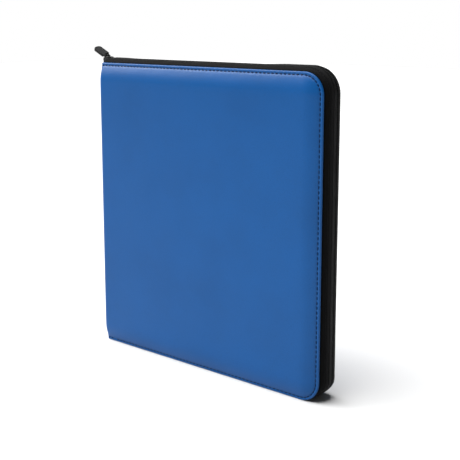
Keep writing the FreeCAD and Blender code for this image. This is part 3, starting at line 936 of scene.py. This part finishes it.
def slider_arch(foot_z, material):
    """The small bridge on top of the slider that the pull's link hangs from."""
    reach, steps = 2.1 * MM, 18
    beam_z = SLIDER_HIGH.z - 0.42 * MM
    arch = []
    for step in range(steps + 1):
        angle = math.pi * step / steps
        rise = abs(math.sin(angle)) ** 0.62
        arch.append((PIVOT.x + reach * bent(math.cos(angle), 0.5), 0.0,
                     foot_z + (beam_z - foot_z) * rise))
    outwards = np.cross(unit(np.gradient(np.array(arch), axis=0)), (0.0, 1.0, 0.0))
    section = [(-0.8, -0.36), (0.8, -0.36), (0.8, 0.36), (-0.8, 0.36)]
    rings = [
        [np.array(point) + np.array((0, across * MM, 0)) + out * up * MM for across, up in section]
        for point, out in zip(arch, outwards)
    ]
    return rounded(grid_object("arch", rings, material, wrap=True, caps=True), 0.2 * MM)


def slider_piece(material):
    """The cast slider: two plates with rolled sides, the wedge and the arch for the pull."""
    low = SLIDER_LOW
    plate = 0.8 * MM
    top_low = TAPE_HIGH.z + 0.3 * MM
    top_high, bottom_high = top_low + plate, low.z + plate
    sunk = 0.1 * MM
    wedge_x = low.x + 0.8 * MM
    wedge = [
        (wedge_x, -1.15 * MM), (wedge_x + 1.2 * MM, -1.2 * MM), (wedge_x + 3.6 * MM, 0.0),
        (wedge_x + 1.2 * MM, 1.2 * MM), (wedge_x, 1.15 * MM),
    ]
    parts = [
        rounded(prism(name, outline, bottom, top, material), round_width * MM)
        for name, outline, bottom, top, round_width in (
            ("upper", slider_outline(), top_low, top_high, 0.3),
            ("lower", slider_outline(0.99), low.z, bottom_high, 0.3),
            ("raised", slider_outline(0.72), top_high - sunk, top_high + 0.22 * MM, 0.15),
            ("wedge", wedge, bottom_high, top_low, 0.2),
        )
    ]
    for side in (-1, 1):
        rail = sorted((x, y) for x, y in slider_outline(0.985) if y * side > 0.6 * SLIDER_HIGH.y)
        rail += [(x, y - side * 0.75 * MM) for x, y in rail[::-1]]
        for bottom, top in ((TAPE_HIGH.z + 0.05 * MM, top_low + sunk),
                            (bottom_high - sunk, TAPE_HIGH.z - 1.6 * MM)):
            bar = prism("rail", rail, bottom, top, material)
            parts.append(rounded(bar, 0.12 * MM, segments=2))
    parts.append(slider_arch(top_high - sunk, material))
    slider = joined("zip_slider", parts, material)
    settle(slider, "slider", "slider_body")


def pull_place():
    """The frame of the pull: local X runs from its pivot to its tip."""
    along = Vector(((STRAP_LOW.x + STRAP_HIGH.x) / 2, 0, (STRAP_LOW.z + STRAP_HIGH.z) / 2)) - PIVOT
    along.normalize()
    up = along.cross(Vector((0, 1, 0)))
    if up.z < 0:
        up = -up
    turn = Matrix((along, up.cross(along), up)).transposed().to_4x4()
    return Matrix.Translation(PIVOT) @ turn


def link_piece(material):
    """The wire link between the slider's arch and the strap."""
    half, far, corner = 2.75 * MM, 5.3 * MM, 1.3 * MM
    path = []
    for quarter, (at_far, side) in enumerate(((1, 1), (0, 1), (0, -1), (1, -1))):
        bend = corner if at_far else corner * 0.6
        middle_x = far - bend if at_far else bend
        middle_y = side * (half - bend)
        for step in range(7):
            angle = math.radians(90 * quarter + 90 * step / 6)
            path.append((middle_x + bend * math.cos(angle), middle_y + bend * math.sin(angle), 0))
    link = tube_object("pull_wire", path, 0.55 * MM, 12, material, closed=True)
    link.data.transform(pull_place())
    settle(link, "pull", "pull_link")


def strap_loop(shrink):
    """The strap's outline from above, drawn in by shrink."""
    half = STRAP_HALF_WIDTH - shrink
    near, far = STRAP_START + shrink, STRAP_END - shrink
    tip = 4.2 * MM - shrink * 0.4
    shoulder = far - tip
    foot = near + 0.5 * MM
    points = []
    for step in range(17):
        angle = -math.pi / 2 + math.pi * step / 16
        points.append((shoulder + tip * bent(math.cos(angle), 0.85),
                       half * bent(math.sin(angle), 0.85)))
    points += [(shoulder + (foot - shoulder) * step / 5, half) for step in range(1, 5)]
    points.append((near + 0.12 * MM, half - 0.12 * MM))
    points += [(near, (half - 0.45 * MM) * share) for share in (1, 0.5, 0, -0.5, -1)]
    points.append((near + 0.12 * MM, -half + 0.12 * MM))
    points += [(foot + (shoulder - foot) * step / 5, -half) for step in range(1, 5)]
    return points


def strap_piece(material):
    """The pull strap: a moulded tab with a rounded tip, a raised edge and a neck at its link."""
    levels = (
        (0.0, 0.0), (0.0, 0.74), (0.06, 0.88), (0.24, 0.97), (0.5, 1.0), (1.1, 0.99),
        (1.35, 0.9), (1.7, 0.87), (3.0, 0.88), (4.2, 0.89),
    )
    rows = [
        [(x, y, way * share * STRAP_HALF_THICK) for x, y in strap_loop(inset * MM)]
        for way, face in ((1, levels[::-1]), (-1, levels[1:])) for inset, share in face
    ]
    tab = grid_object("tab", rows, material, wrap=True, caps=True, smooth_angle=50)
    tab.data.transform(Matrix.Rotation(-STRAP_ROLL, 4, "X"))
    fork, slot, thick = 4.85 * MM, 1.15 * MM, 1.0 * MM
    near, crotch, root = -0.9 * MM, 2.6 * MM, STRAP_START + 0.9 * MM
    outline = [(root, -fork), (root, fork), (near, fork), (near, slot), (crotch, slot),
               (crotch, -slot), (near, -slot), (near, -fork)]
    neck = rounded(prism("neck", outline, -thick, thick, material), 0.55 * MM, segments=4)
    strap = joined("pull_tab", [tab, neck], material)
    strap.data.transform(pull_place())
    settle(strap, "pull", "pull_strap")


# ---------------------------------------------------------------- pages


def pocket_heights(places, starts, size):
    """For places across a page: 1 inside a pocket, 0 on a weld and a short slope between."""
    inside = np.zeros(len(places))
    for start in starts:
        edge = np.minimum(places - start, start + size - places)
        inside = np.maximum(inside, smoothstep(0, 2.2 * MM, edge))
    return inside


def pocket_stops(starts, size):
    """Places across a page where the film's grid has a line, closer beside the welds."""
    marks = [starts[0] - 1.6 * MM, starts[-1] + size + 1.6 * MM]
    for start in starts:
        for step in (0, 0.8, 2.2, 7):
            marks += [start + step * MM, start + size - step * MM]
        marks += [start + size * share for share in (0.25, 0.5, 0.75)]
    return np.array(sorted(marks))


def page_sheet(body, low, high, material):
    """A backing sheet from its fold to its free edge, with small rounded corners."""
    middle = (low.y + high.y) / 2
    fold = JOINTS[f"{body}_fold"]["pos_m"][0]
    xs = np.concatenate([
        np.linspace(fold - 0.8 * MM, low.x + 9 * MM, 12),
        np.linspace(low.x + 16 * MM, high.x - 3 * MM, 22), [high.x - 1.2 * MM, high.x],
    ])
    zs = np.concatenate([
        [low.z, low.z + 1.2 * MM], np.linspace(low.z + 4 * MM, high.z - 4 * MM, 16),
        [high.z - 1.2 * MM, high.z],
    ])
    rows = []
    for x in xs:
        corner = 2.2 * MM * float(smoothstep(high.x - 3 * MM, high.x, x))
        rows.append([(x, middle, min(max(z, low.z + corner), high.z - corner)) for z in zs])
    sheet = thicken(grid_object(f"{body}_sheet", rows, material), 0.16 * MM, offset=0)
    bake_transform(sheet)
    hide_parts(body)


def page_pockets(body, number, low, high, material):
    """The clear pocket films on both faces of a page."""
    pages = bpy.context.scene.binder_pages
    seam, border = pages.seam, pages.border
    left = low.x + pages.margin
    width = (high.x - border - left - seam * (pages.columns - 1)) / pages.columns
    height = (high.z - low.z - 2 * border - seam * (pages.rows - 1)) / pages.rows
    column_starts = [left + (width + seam) * index for index in range(pages.columns)]
    row_starts = [low.z + border + (height + seam) * index for index in range(pages.rows)]
    xs, zs = pocket_stops(column_starts, width), pocket_stops(row_starts, height)
    inside = pocket_heights(xs, column_starts, width)[:, None]
    inside = inside * pocket_heights(zs, row_starts, height)[None, :]
    xs, zs = xs[:, None], zs[None, :]
    ripple = 0.03 * MM * np.sin(xs / 0.021 + number) * np.sin(zs / 0.034)
    lift = 0.11 * MM + (0.19 * MM + ripple) * inside
    films = []
    for side in (-1, 1):
        depth = (low.y + high.y) / 2 + side * lift
        grid = np.stack(np.broadcast_arrays(xs, depth, zs), 2)
        films.append(thicken(grid_object("film", grid, material), 0.05 * MM, offset=0))
    settle(joined(f"{body}_pockets", films, material), body)


# ---------------------------------------------------------------- materials


class Nodes:
    """Adds and links nodes in one tree, by name."""

    def __init__(self, tree):
        self.tree = tree

    def connect(self, node, inputs):
        """Links sockets to a node's inputs, and sets its other inputs to constants."""
        for key, value in inputs.items():
            if isinstance(value, bpy.types.NodeSocket):
                self.tree.links.new(value, node.inputs[key])
            else:
                node.inputs[key].default_value = value

    def add(self, kind, inputs=None, **settings):
        node = self.tree.nodes.new(kind)
        for key, value in settings.items():
            setattr(node, key, value)
        self.connect(node, inputs or {})
        return node

    def maths(self, operation, *values):
        return self.add("ShaderNodeMath", dict(enumerate(values)), operation=operation).outputs[0]

    def noise(self, place, scale, detail, output="Fac", roughness=0.5):
        inputs = {"Vector": place, "Scale": scale, "Detail": detail, "Roughness": roughness}
        return self.add("ShaderNodeTexNoise", inputs).outputs[output]

    def stretch(self, value, low, high):
        inputs = {"Value": value, "From Min": low, "From Max": high}
        return self.add("ShaderNodeMapRange", inputs).outputs["Result"]

    def split(self, vector):
        return self.add("ShaderNodeSeparateXYZ", {"Vector": vector}).outputs

    def tones(self, factor, base, *stops):
        """The base colour made darker or lighter, as (place, factor) stops along a ramp."""
        node = self.add("ShaderNodeValToRGB", {"Fac": factor})
        while len(node.color_ramp.elements) < len(stops):
            node.color_ramp.elements.new(0.5)
        for element, (place, change) in zip(node.color_ramp.elements, stops):
            element.position = place
            element.color = (*scaled(base, change), 1.0)
        return node.outputs["Color"]


def scaled(base, factor):
    """A colour made lighter or darker."""
    return tuple(min(1.0, part * factor) for part in base)


def new_group(name, constant, default, outputs):
    """A node group with a vector input and one number. Returns its nodes and its two ends."""
    group = bpy.data.node_groups.new(name, "ShaderNodeTree")
    group.interface.new_socket(name="Vector", in_out="INPUT", socket_type="NodeSocketVector")
    number = group.interface.new_socket(
        name=constant, in_out="INPUT", socket_type="NodeSocketFloat"
    )
    number.default_value = default
    for label in outputs:
        group.interface.new_socket(name=label, in_out="OUTPUT", socket_type="NodeSocketFloat")
    nodes = Nodes(group)
    start, end = nodes.add("NodeGroupInput"), nodes.add("NodeGroupOutput")
    return nodes, start.outputs["Vector"], start.outputs[constant], end


def grain_group():
    """Pebbled grain: rounded cells with creases between them."""
    nodes, vector, cells, end = new_group(
        "pebbled_grain", "Cells", 900.0, ("Height", "Crease", "Patches")
    )
    bend = nodes.noise(vector, 420.0, 2.0, "Color")
    shift = nodes.add("ShaderNodeVectorMath", {0: bend, "Scale": 0.0006}, operation="SCALE")
    moved = nodes.add("ShaderNodeVectorMath", {0: vector, 1: shift.outputs[0]}, operation="ADD")
    pebbles = nodes.add(
        "ShaderNodeTexVoronoi", {"Vector": moved.outputs[0], "Scale": cells}, feature="SMOOTH_F1"
    ).outputs["Distance"]
    dome = nodes.maths("SUBTRACT", 1.0, pebbles)
    nodes.connect(end, {
        "Height": nodes.maths("MULTIPLY_ADD", nodes.noise(vector, 3200.0, 3.0), 0.18, dome),
        "Crease": nodes.stretch(pebbles, 0.42, 0.85),
        "Patches": nodes.noise(vector, 14.0, 4.0, roughness=0.55),
    })
    return nodes.tree


def weave_group():
    """Plain weave across Y and along X and Z, so that it follows the gusset's run."""
    nodes, vector, threads, end = new_group("plain_weave", "Threads", 9000.0, ("Height", "Slub"))
    parts = nodes.split(vector)
    run = nodes.maths("SUBTRACT", parts["X"], parts["Z"])
    warp = nodes.maths("SINE", nodes.maths("MULTIPLY", run, threads))
    weft = nodes.maths("SINE", nodes.maths("MULTIPLY", parts["Y"], threads))
    over = nodes.maths("MULTIPLY", warp, weft)
    ribs = nodes.maths("MAXIMUM", nodes.maths("ABSOLUTE", warp), nodes.maths("ABSOLUTE", weft))
    nodes.connect(end, {
        "Height": nodes.maths("MULTIPLY_ADD", over, 0.35, ribs),
        "Slub": nodes.noise(vector, 260.0, 4.0, roughness=0.6),
    })
    return nodes.tree


def wear_group():
    """Handling marks: soft patches with a few fine scuffs."""
    nodes, vector, amount, end = new_group("handling_marks", "Amount", 0.5, ("Mask", "Scuff"))
    stretched = nodes.add("ShaderNodeMapping", {
        "Vector": vector, "Scale": (90.0, 700.0, 260.0), "Rotation": (0.2, 0.5, 0.7),
    })
    soft = nodes.stretch(nodes.noise(vector, 34.0, 5.0), 0.38, 0.72)
    thin = nodes.stretch(nodes.noise(stretched.outputs[0], 1.0, 2.0), 0.66, 0.78)
    nodes.connect(end, {
        "Mask": nodes.maths("MULTIPLY", soft, amount),
        "Scuff": nodes.maths("MULTIPLY", thin, amount),
    })
    return nodes.tree


GROUP_MAKERS = {"grain": grain_group, "weave": weave_group, "wear": wear_group}
GROUPS = {}


def group_outputs(nodes, name, **inputs):
    """The outputs of one of the shared groups, which is built the first time."""
    if name not in GROUPS:
        GROUPS[name] = GROUP_MAKERS[name]()
    return nodes.add("ShaderNodeGroup", inputs, node_tree=GROUPS[name]).outputs


SHADER_SOCKETS = {
    "specular": "Specular IOR Level", "coat": "Coat Weight", "coat_roughness": "Coat Roughness",
    "sheen": "Sheen Weight", "sheen_roughness": "Sheen Roughness", "colour": "Base Color",
    "alpha": "Alpha",
}


def new_material(name, **constants):
    """A material with one Principled shader. Returns it, its nodes, shader and coordinates."""
    material = bpy.data.materials.new(name)
    material.use_nodes = True
    nodes = Nodes(material.node_tree)
    shader = material.node_tree.nodes["Principled BSDF"]
    for key, value in constants.items():
        shader.inputs[SHADER_SOCKETS[key]].default_value = value
    place = nodes.add("ShaderNodeTexCoord").outputs["Object"]
    return material, nodes, shader, place


def finish_shader(nodes, shader, base, roughness, height=None, strength=0.0, distance=0.0001):
    """Links a colour, a roughness and a bump to the shader, where they are given."""
    if base is not None:
        nodes.tree.links.new(base, shader.inputs["Base Color"])
    nodes.tree.links.new(roughness, shader.inputs["Roughness"])
    if height is not None:
        bump = nodes.add(
            "ShaderNodeBump", {"Height": height, "Strength": strength, "Distance": distance}
        )
        nodes.tree.links.new(bump.outputs["Normal"], shader.inputs["Normal"])


def leatherette(name, base):
    """Fine-grained satin leatherette with slow changes of tone, and painted shade in the grain's
    creases.
    """
    material, nodes, shader, place = new_material(
        name, specular=0.15, coat=0.12, coat_roughness=0.24
    )
    grain = group_outputs(nodes, "grain", Vector=place, Cells=1150.0)
    marks = group_outputs(nodes, "wear", Vector=place, Amount=0.5)
    tone = nodes.tones(grain["Patches"], base, (0.3, 0.93), (0.5, 1.0), (0.72, 1.06))
    # Painted shade: the grain's creases are darkened towards 0.62 of the base colour.
    crease_shaded = nodes.add("ShaderNodeMixRGB", {
        "Fac": nodes.maths("MULTIPLY", grain["Crease"], 0.3), "Color1": tone,
        "Color2": (*scaled(base, 0.62), 1.0),
    })
    rough = nodes.maths("MULTIPLY_ADD", marks["Mask"], 0.08, 0.36)
    rough = nodes.maths("MULTIPLY_ADD", grain["Crease"], 0.12, rough)
    finish_shader(nodes, shader, crease_shaded.outputs[0], rough, grain["Height"], 0.22, 0.00012)
    return material


def woven(name, base, threads, roughness, strength):
    """Woven cloth or tape."""
    material, nodes, shader, place = new_material(
        name, specular=0.07, sheen=0.03, sheen_roughness=0.5
    )
    weave = group_outputs(nodes, "weave", Vector=place, Threads=threads)
    tone = nodes.tones(weave["Slub"], base, (0.3, 0.75), (0.52, 1.0), (0.75, 1.45))
    rough = nodes.maths("MULTIPLY_ADD", weave["Slub"], 0.16, roughness - 0.08)
    finish_shader(nodes, shader, tone, rough, weave["Height"], strength, 0.00018)
    return material


def sewing_thread(name, base):
    """Twisted sewing thread, with painted shade in the twist's grooves and a painted highlight on
    its crests.
    """
    material, nodes, shader, place = new_material(name, specular=0.12)
    parts = nodes.split(place)
    run = nodes.maths("ADD", nodes.maths("ADD", parts["X"], parts["Z"]), parts["Y"])
    twist = nodes.maths("SINE", nodes.maths("MULTIPLY", run, 11000.0))
    share = nodes.maths("MULTIPLY_ADD", twist, 0.5, 0.5)
    # Painted shade and highlight: the tone runs from 0.6 of the base in the twist's grooves to 1.25
    # on its crests.
    tone = nodes.tones(share, base, (0.0, 0.6), (1.0, 1.25))
    rough = nodes.maths("MULTIPLY_ADD", twist, 0.06, 0.55)
    finish_shader(nodes, shader, tone, rough, twist, 0.4)
    return material


def moulded(name, base, roughness, grain_size, strength, specular=0.4):
    """Moulded plastic, rubber or enamelled metal with a fine texture and handling marks."""
    material, nodes, shader, place = new_material(name, specular=specular)
    marks = group_outputs(nodes, "wear", Vector=place, Amount=0.8)
    tone = nodes.tones(marks["Mask"], base, (0.0, 0.85), (0.6, 1.0), (1.0, 1.3))
    rough = nodes.maths("MULTIPLY_ADD", marks["Mask"], 0.12, roughness)
    rough = nodes.maths("MULTIPLY_ADD", marks["Scuff"], 0.1, rough)
    finish_shader(nodes, shader, tone, rough, nodes.noise(place, grain_size, 4.0), strength)
    return material


def pressed_board(name, base):
    """Greyboard or foam: flecks of lighter and darker stuff."""
    material, nodes, shader, place = new_material(name, specular=0.2)
    flecks = nodes.noise(place, 1100.0, 5.0)
    tone = nodes.tones(flecks, base, (0.32, 0.55), (0.5, 1.0), (0.7, 1.35))
    rough = nodes.maths("MULTIPLY_ADD", flecks, 0.1, 0.82)
    finish_shader(nodes, shader, tone, rough, flecks, 0.3)
    return material


def clear_film(name):
    """Clear pocket film, faintly frosted."""
    material, nodes, shader, place = new_material(
        name, colour=(0.75, 0.77, 0.8, 1.0), alpha=0.16, specular=0.6
    )
    rough = nodes.maths("MULTIPLY_ADD", nodes.noise(place, 60.0, 3.0), 0.12, 0.06)
    finish_shader(nodes, shader, None, rough, nodes.noise(place, 210.0, 2.0), 0.08, 0.0003)
    return material


def pale_paper(name, base):
    """Plain pale paper sweep."""
    material, nodes, shader, place = new_material(name, specular=0.1)
    tooth = nodes.noise(place, 3.0, 2.0)
    tone = nodes.tones(tooth, base, (0.3, 0.995), (0.7, 1.0))
    finish_shader(nodes, shader, tone, nodes.maths("MULTIPLY_ADD", tooth, 0.05, 0.9))
    return material


FINISHES = {}


def finish(name):
    """The binder's finishes by name, each made once."""
    scene = bpy.context.scene
    makers = {
        "blue_leatherette": (leatherette, scene.binder_cover.leather),
        "sewing_thread": (sewing_thread, scene.binder_stitch.thread_colour),
        "black_thread": (sewing_thread, (0.01, 0.01, 0.011)),
        "gusset_weave": (woven, scene.binder_zipper.fabric, 9500.0, 0.8, 0.5),
        "tape_weave": (woven, scene.binder_zipper.tape, 7200.0, 0.72, 0.45),
        "lining_weave": (woven, (0.012, 0.012, 0.0135), 8200.0, 0.75, 0.4),
        "binding_weave": (woven, (0.014, 0.014, 0.016), 6000.0, 0.7, 0.5),
        "coil_nylon": (moulded, (0.008, 0.008, 0.0085), 0.38, 1500.0, 0.1),
        "slider_enamel": (moulded, (0.006, 0.006, 0.0065), 0.42, 900.0, 0.06, 0.3),
        "pull_rubber": (moulded, (0.0085, 0.0085, 0.009), 0.66, 2600.0, 0.35, 0.16),
        "greyboard": (pressed_board, (0.2, 0.185, 0.165)),
        "pad_foam": (pressed_board, (0.62, 0.58, 0.48)),
        "page_sheet": (moulded, scene.binder_pages.sheet, 0.5, 1800.0, 0.2),
        "pocket_film": (clear_film,),
        "pale_paper": (pale_paper, scene.binder_stage.floor_colour),
    }
    if name not in FINISHES:
        maker, *constants = makers[name]
        FINISHES[name] = maker(name, *constants)
    return FINISHES[name]


def dress(node, material):
    """Gives a CAD node that stays visible its finish."""
    mesh = frame["nodes"][node].data
    mesh.materials.clear()
    mesh.materials.append(material)


# ---------------------------------------------------------------- stage


def stage_floor():
    """A floor far wider than the view."""
    half = 6.0
    corners = [(-half, -half, 0), (half, -half, 0), (half, half, 0), (-half, half, 0)]
    floor = mesh_object("floor", corners, [(0, 1, 2, 3)], finish("pale_paper"))


def stage_lights():
    """A wide high light, a weaker one from the left, and a surround that looks white."""
    scene = bpy.context.scene
    stage = scene.binder_stage
    world = bpy.data.worlds.new("white_surround")
    scene.world = world
    world.use_nodes = True
    nodes = Nodes(world.node_tree)
    shine = nodes.tree.nodes["Background"]
    nodes.connect(shine, {"Color": (0.93, 0.96, 1.0, 1.0), "Strength": stage.surround})
    seen = nodes.add("ShaderNodeBackground", {"Color": (1.0, 1.0, 1.0, 1.0), "Strength": 1.0})
    ray = nodes.add("ShaderNodeLightPath")
    mix = nodes.add("ShaderNodeMixShader", {
        0: ray.outputs["Is Camera Ray"], 1: shine.outputs[0], 2: seen.outputs[0],
    })
    nodes.tree.links.new(mix.outputs[0], nodes.tree.nodes["World Output"].inputs[0])
    for name, toward, strength, spread in (
        ("overhead", (-0.36, -0.18, 1.0), stage.overhead, 72.0),
        ("key", (-0.86, -0.46, 0.5), stage.key, 30.0),
    ):
        lamp = bpy.data.lights.new(name, "SUN")
        lamp.energy = strength
        lamp.angle = math.radians(spread)
        holder = bpy.data.objects.new(name, lamp)
        holder.rotation_euler = Vector(toward).to_track_quat("Z", "Y").to_euler()
        scene.collection.objects.link(holder)


def stage_camera():
    """The camera, turned left and dipped a little towards the front cover."""
    scene = bpy.context.scene
    stage = scene.binder_stage
    lens = bpy.data.cameras.new("camera")
    lens.sensor_width = 36.0
    lens.lens = stage.lens
    lens.shift_y = -0.13
    lens.clip_start = 0.01
    camera = bpy.data.objects.new("camera", lens)
    camera.location = stage.camera_spot
    camera.rotation_euler = (math.pi / 2 - stage.camera_dip, 0.0, stage.camera_turn)
    scene.collection.objects.link(camera)
    scene.camera = camera
    scene.view_settings.view_transform = "Standard"


# ---------------------------------------------------------------- operators


class BinderOperator(bpy.types.Operator):
    """Shared by the binder's operators."""

    bl_options = {"REGISTER", "UNDO"}

    def make(self):
        raise NotImplementedError

    def execute(self, context):
        self.make()
        return {"FINISHED"}


class BINDER_OT_stage(BinderOperator):
    """Sets up the floor, the light and the camera"""

    bl_idname = "binder.stage"
    bl_label = "Stage"

    def make(self):
        stage_floor()
        stage_lights()
        stage_camera()


class BINDER_OT_covers(BinderOperator):
    """Makes the padded leatherette covers and the foam inside them"""

    bl_idname = "binder.covers"
    bl_label = "Padded covers"

    def make(self):
        for label, side in SIDES:
            skin = cover_skin(f"{label}_cover_skin", side, finish("blue_leatherette"))
            settle(skin, f"{label}_cover", f"{label}_cover_leather")
            pad = padding(label, side, finish("pad_foam"))
            settle(pad, f"{label}_cover", f"{label}_cover_foam")


class BINDER_OT_spine(BinderOperator):
    """Makes the leatherette of the spine and of the two hinges, and the hinge linings"""

    bl_idname = "binder.spine"
    bl_label = "Spine and hinges"

    def make(self):
        hinge_skins(finish("blue_leatherette"))
        hinge_linings(finish("lining_weave"))


class BINDER_OT_boards(BinderOperator):
    """Gives the boards, the linings and the binding strip their finishes"""

    bl_idname = "binder.boards"
    bl_label = "Boards and linings"

    def make(self):
        for node in ("front_cover_board", "back_cover_board", "spine_board"):
            dress(node, finish("greyboard"))
        for node in ("front_cover_lining", "back_cover_lining", "spine_lining"):
            dress(node, finish("lining_weave"))
        dress("page_binding", finish("binding_weave"))
        dress("zipper_end_bottom", finish("tape_weave"))


class BINDER_OT_stitches(BinderOperator):
    """Sews the covers round their edges"""

    bl_idname = "binder.stitches"
    bl_label = "Stitching"

    def make(self):
        for label, side in SIDES:
            cover_stitches(label, side, finish("sewing_thread"))
            hinge_stitches(label, side, finish("sewing_thread"))


class BINDER_OT_gusset(BinderOperator):
    """Makes both halves of the gusset and of the zipper tape"""

    bl_idname = "binder.gusset"
    bl_label = "Gusset and tape"

    def make(self):
        for label, side in SIDES:
            gusset_cloth(label, side, finish("gusset_weave"))
            tape_cloth(label, side, finish("tape_weave"))
            gusset_seam(label, side, finish("black_thread"))


class BINDER_OT_teeth(BinderOperator):
    """Makes the coil teeth and the zipper's ends"""

    bl_idname = "binder.teeth"
    bl_label = "Coil teeth"

    def make(self):
        for label, side in SIDES:
            coil_teeth(label, side, finish("coil_nylon"))
        zipper_ends(finish("tape_weave"))


class BINDER_OT_slider(BinderOperator):
    """Makes the slider, its link and the pull"""

    bl_idname = "binder.slider"
    bl_label = "Slider and pull"

    def make(self):
        slider_piece(finish("slider_enamel"))
        link_piece(finish("slider_enamel"))
        strap_piece(finish("pull_rubber"))


class BINDER_OT_pages(BinderOperator):
    """Makes the pocket pages"""

    bl_idname = "binder.pages"
    bl_label = "Pocket pages"

    def make(self):
        numbers = sorted(int(name[-2:]) for name in frame["bodies"] if name.startswith("page_"))
        for number in numbers:
            body = f"page_{number:02d}"
            low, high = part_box(body)
            page_sheet(body, low, high, finish("page_sheet"))
            page_pockets(body, number, low, high, finish("pocket_film"))


OPERATORS = (
    BINDER_OT_stage, BINDER_OT_covers, BINDER_OT_spine, BINDER_OT_boards, BINDER_OT_stitches,
    BINDER_OT_gusset, BINDER_OT_teeth, BINDER_OT_slider, BINDER_OT_pages,
)
SETTINGS = {
    "binder_cover": BinderCoverSettings,
    "binder_stitch": BinderStitchSettings,
    "binder_zipper": BinderZipperSettings,
    "binder_pages": BinderPageSettings,
    "binder_stage": BinderStageSettings,
}


class BINDER_PT_panel(bpy.types.Panel):
    """The binder's settings and operators"""

    bl_idname = "BINDER_PT_panel"
    bl_label = "Card binder"
    bl_space_type = "VIEW_3D"
    bl_region_type = "UI"
    bl_category = "Binder"

    def draw(self, context):
        layout = self.layout
        for name in SETTINGS:
            settings = getattr(context.scene, name)
            for key in settings.bl_rna.properties.keys():
                if key not in ("rna_type", "name"):
                    layout.prop(settings, key)
        for operator in OPERATORS:
            layout.operator(operator.bl_idname)


def register():
    """Adds the settings, the operators and the panel to Blender."""
    for name, settings in SETTINGS.items():
        bpy.utils.register_class(settings)
        setattr(bpy.types.Scene, name, bpy.props.PointerProperty(type=settings))
    for operator in OPERATORS:
        bpy.utils.register_class(operator)
    bpy.utils.register_class(BINDER_PT_panel)


def unregister():
    """Removes them again."""
    bpy.utils.unregister_class(BINDER_PT_panel)
    for operator in reversed(OPERATORS):
        bpy.utils.unregister_class(operator)
    for name, settings in SETTINGS.items():
        delattr(bpy.types.Scene, name)
        bpy.utils.unregister_class(settings)


def main():
    """Registers the add-on and runs each of its operators, which makes the binder."""
    register()
    for operator in OPERATORS:
        group, name = operator.bl_idname.split(".")
        getattr(getattr(bpy.ops, group), name)()


if __name__ == "__main__":
    main()
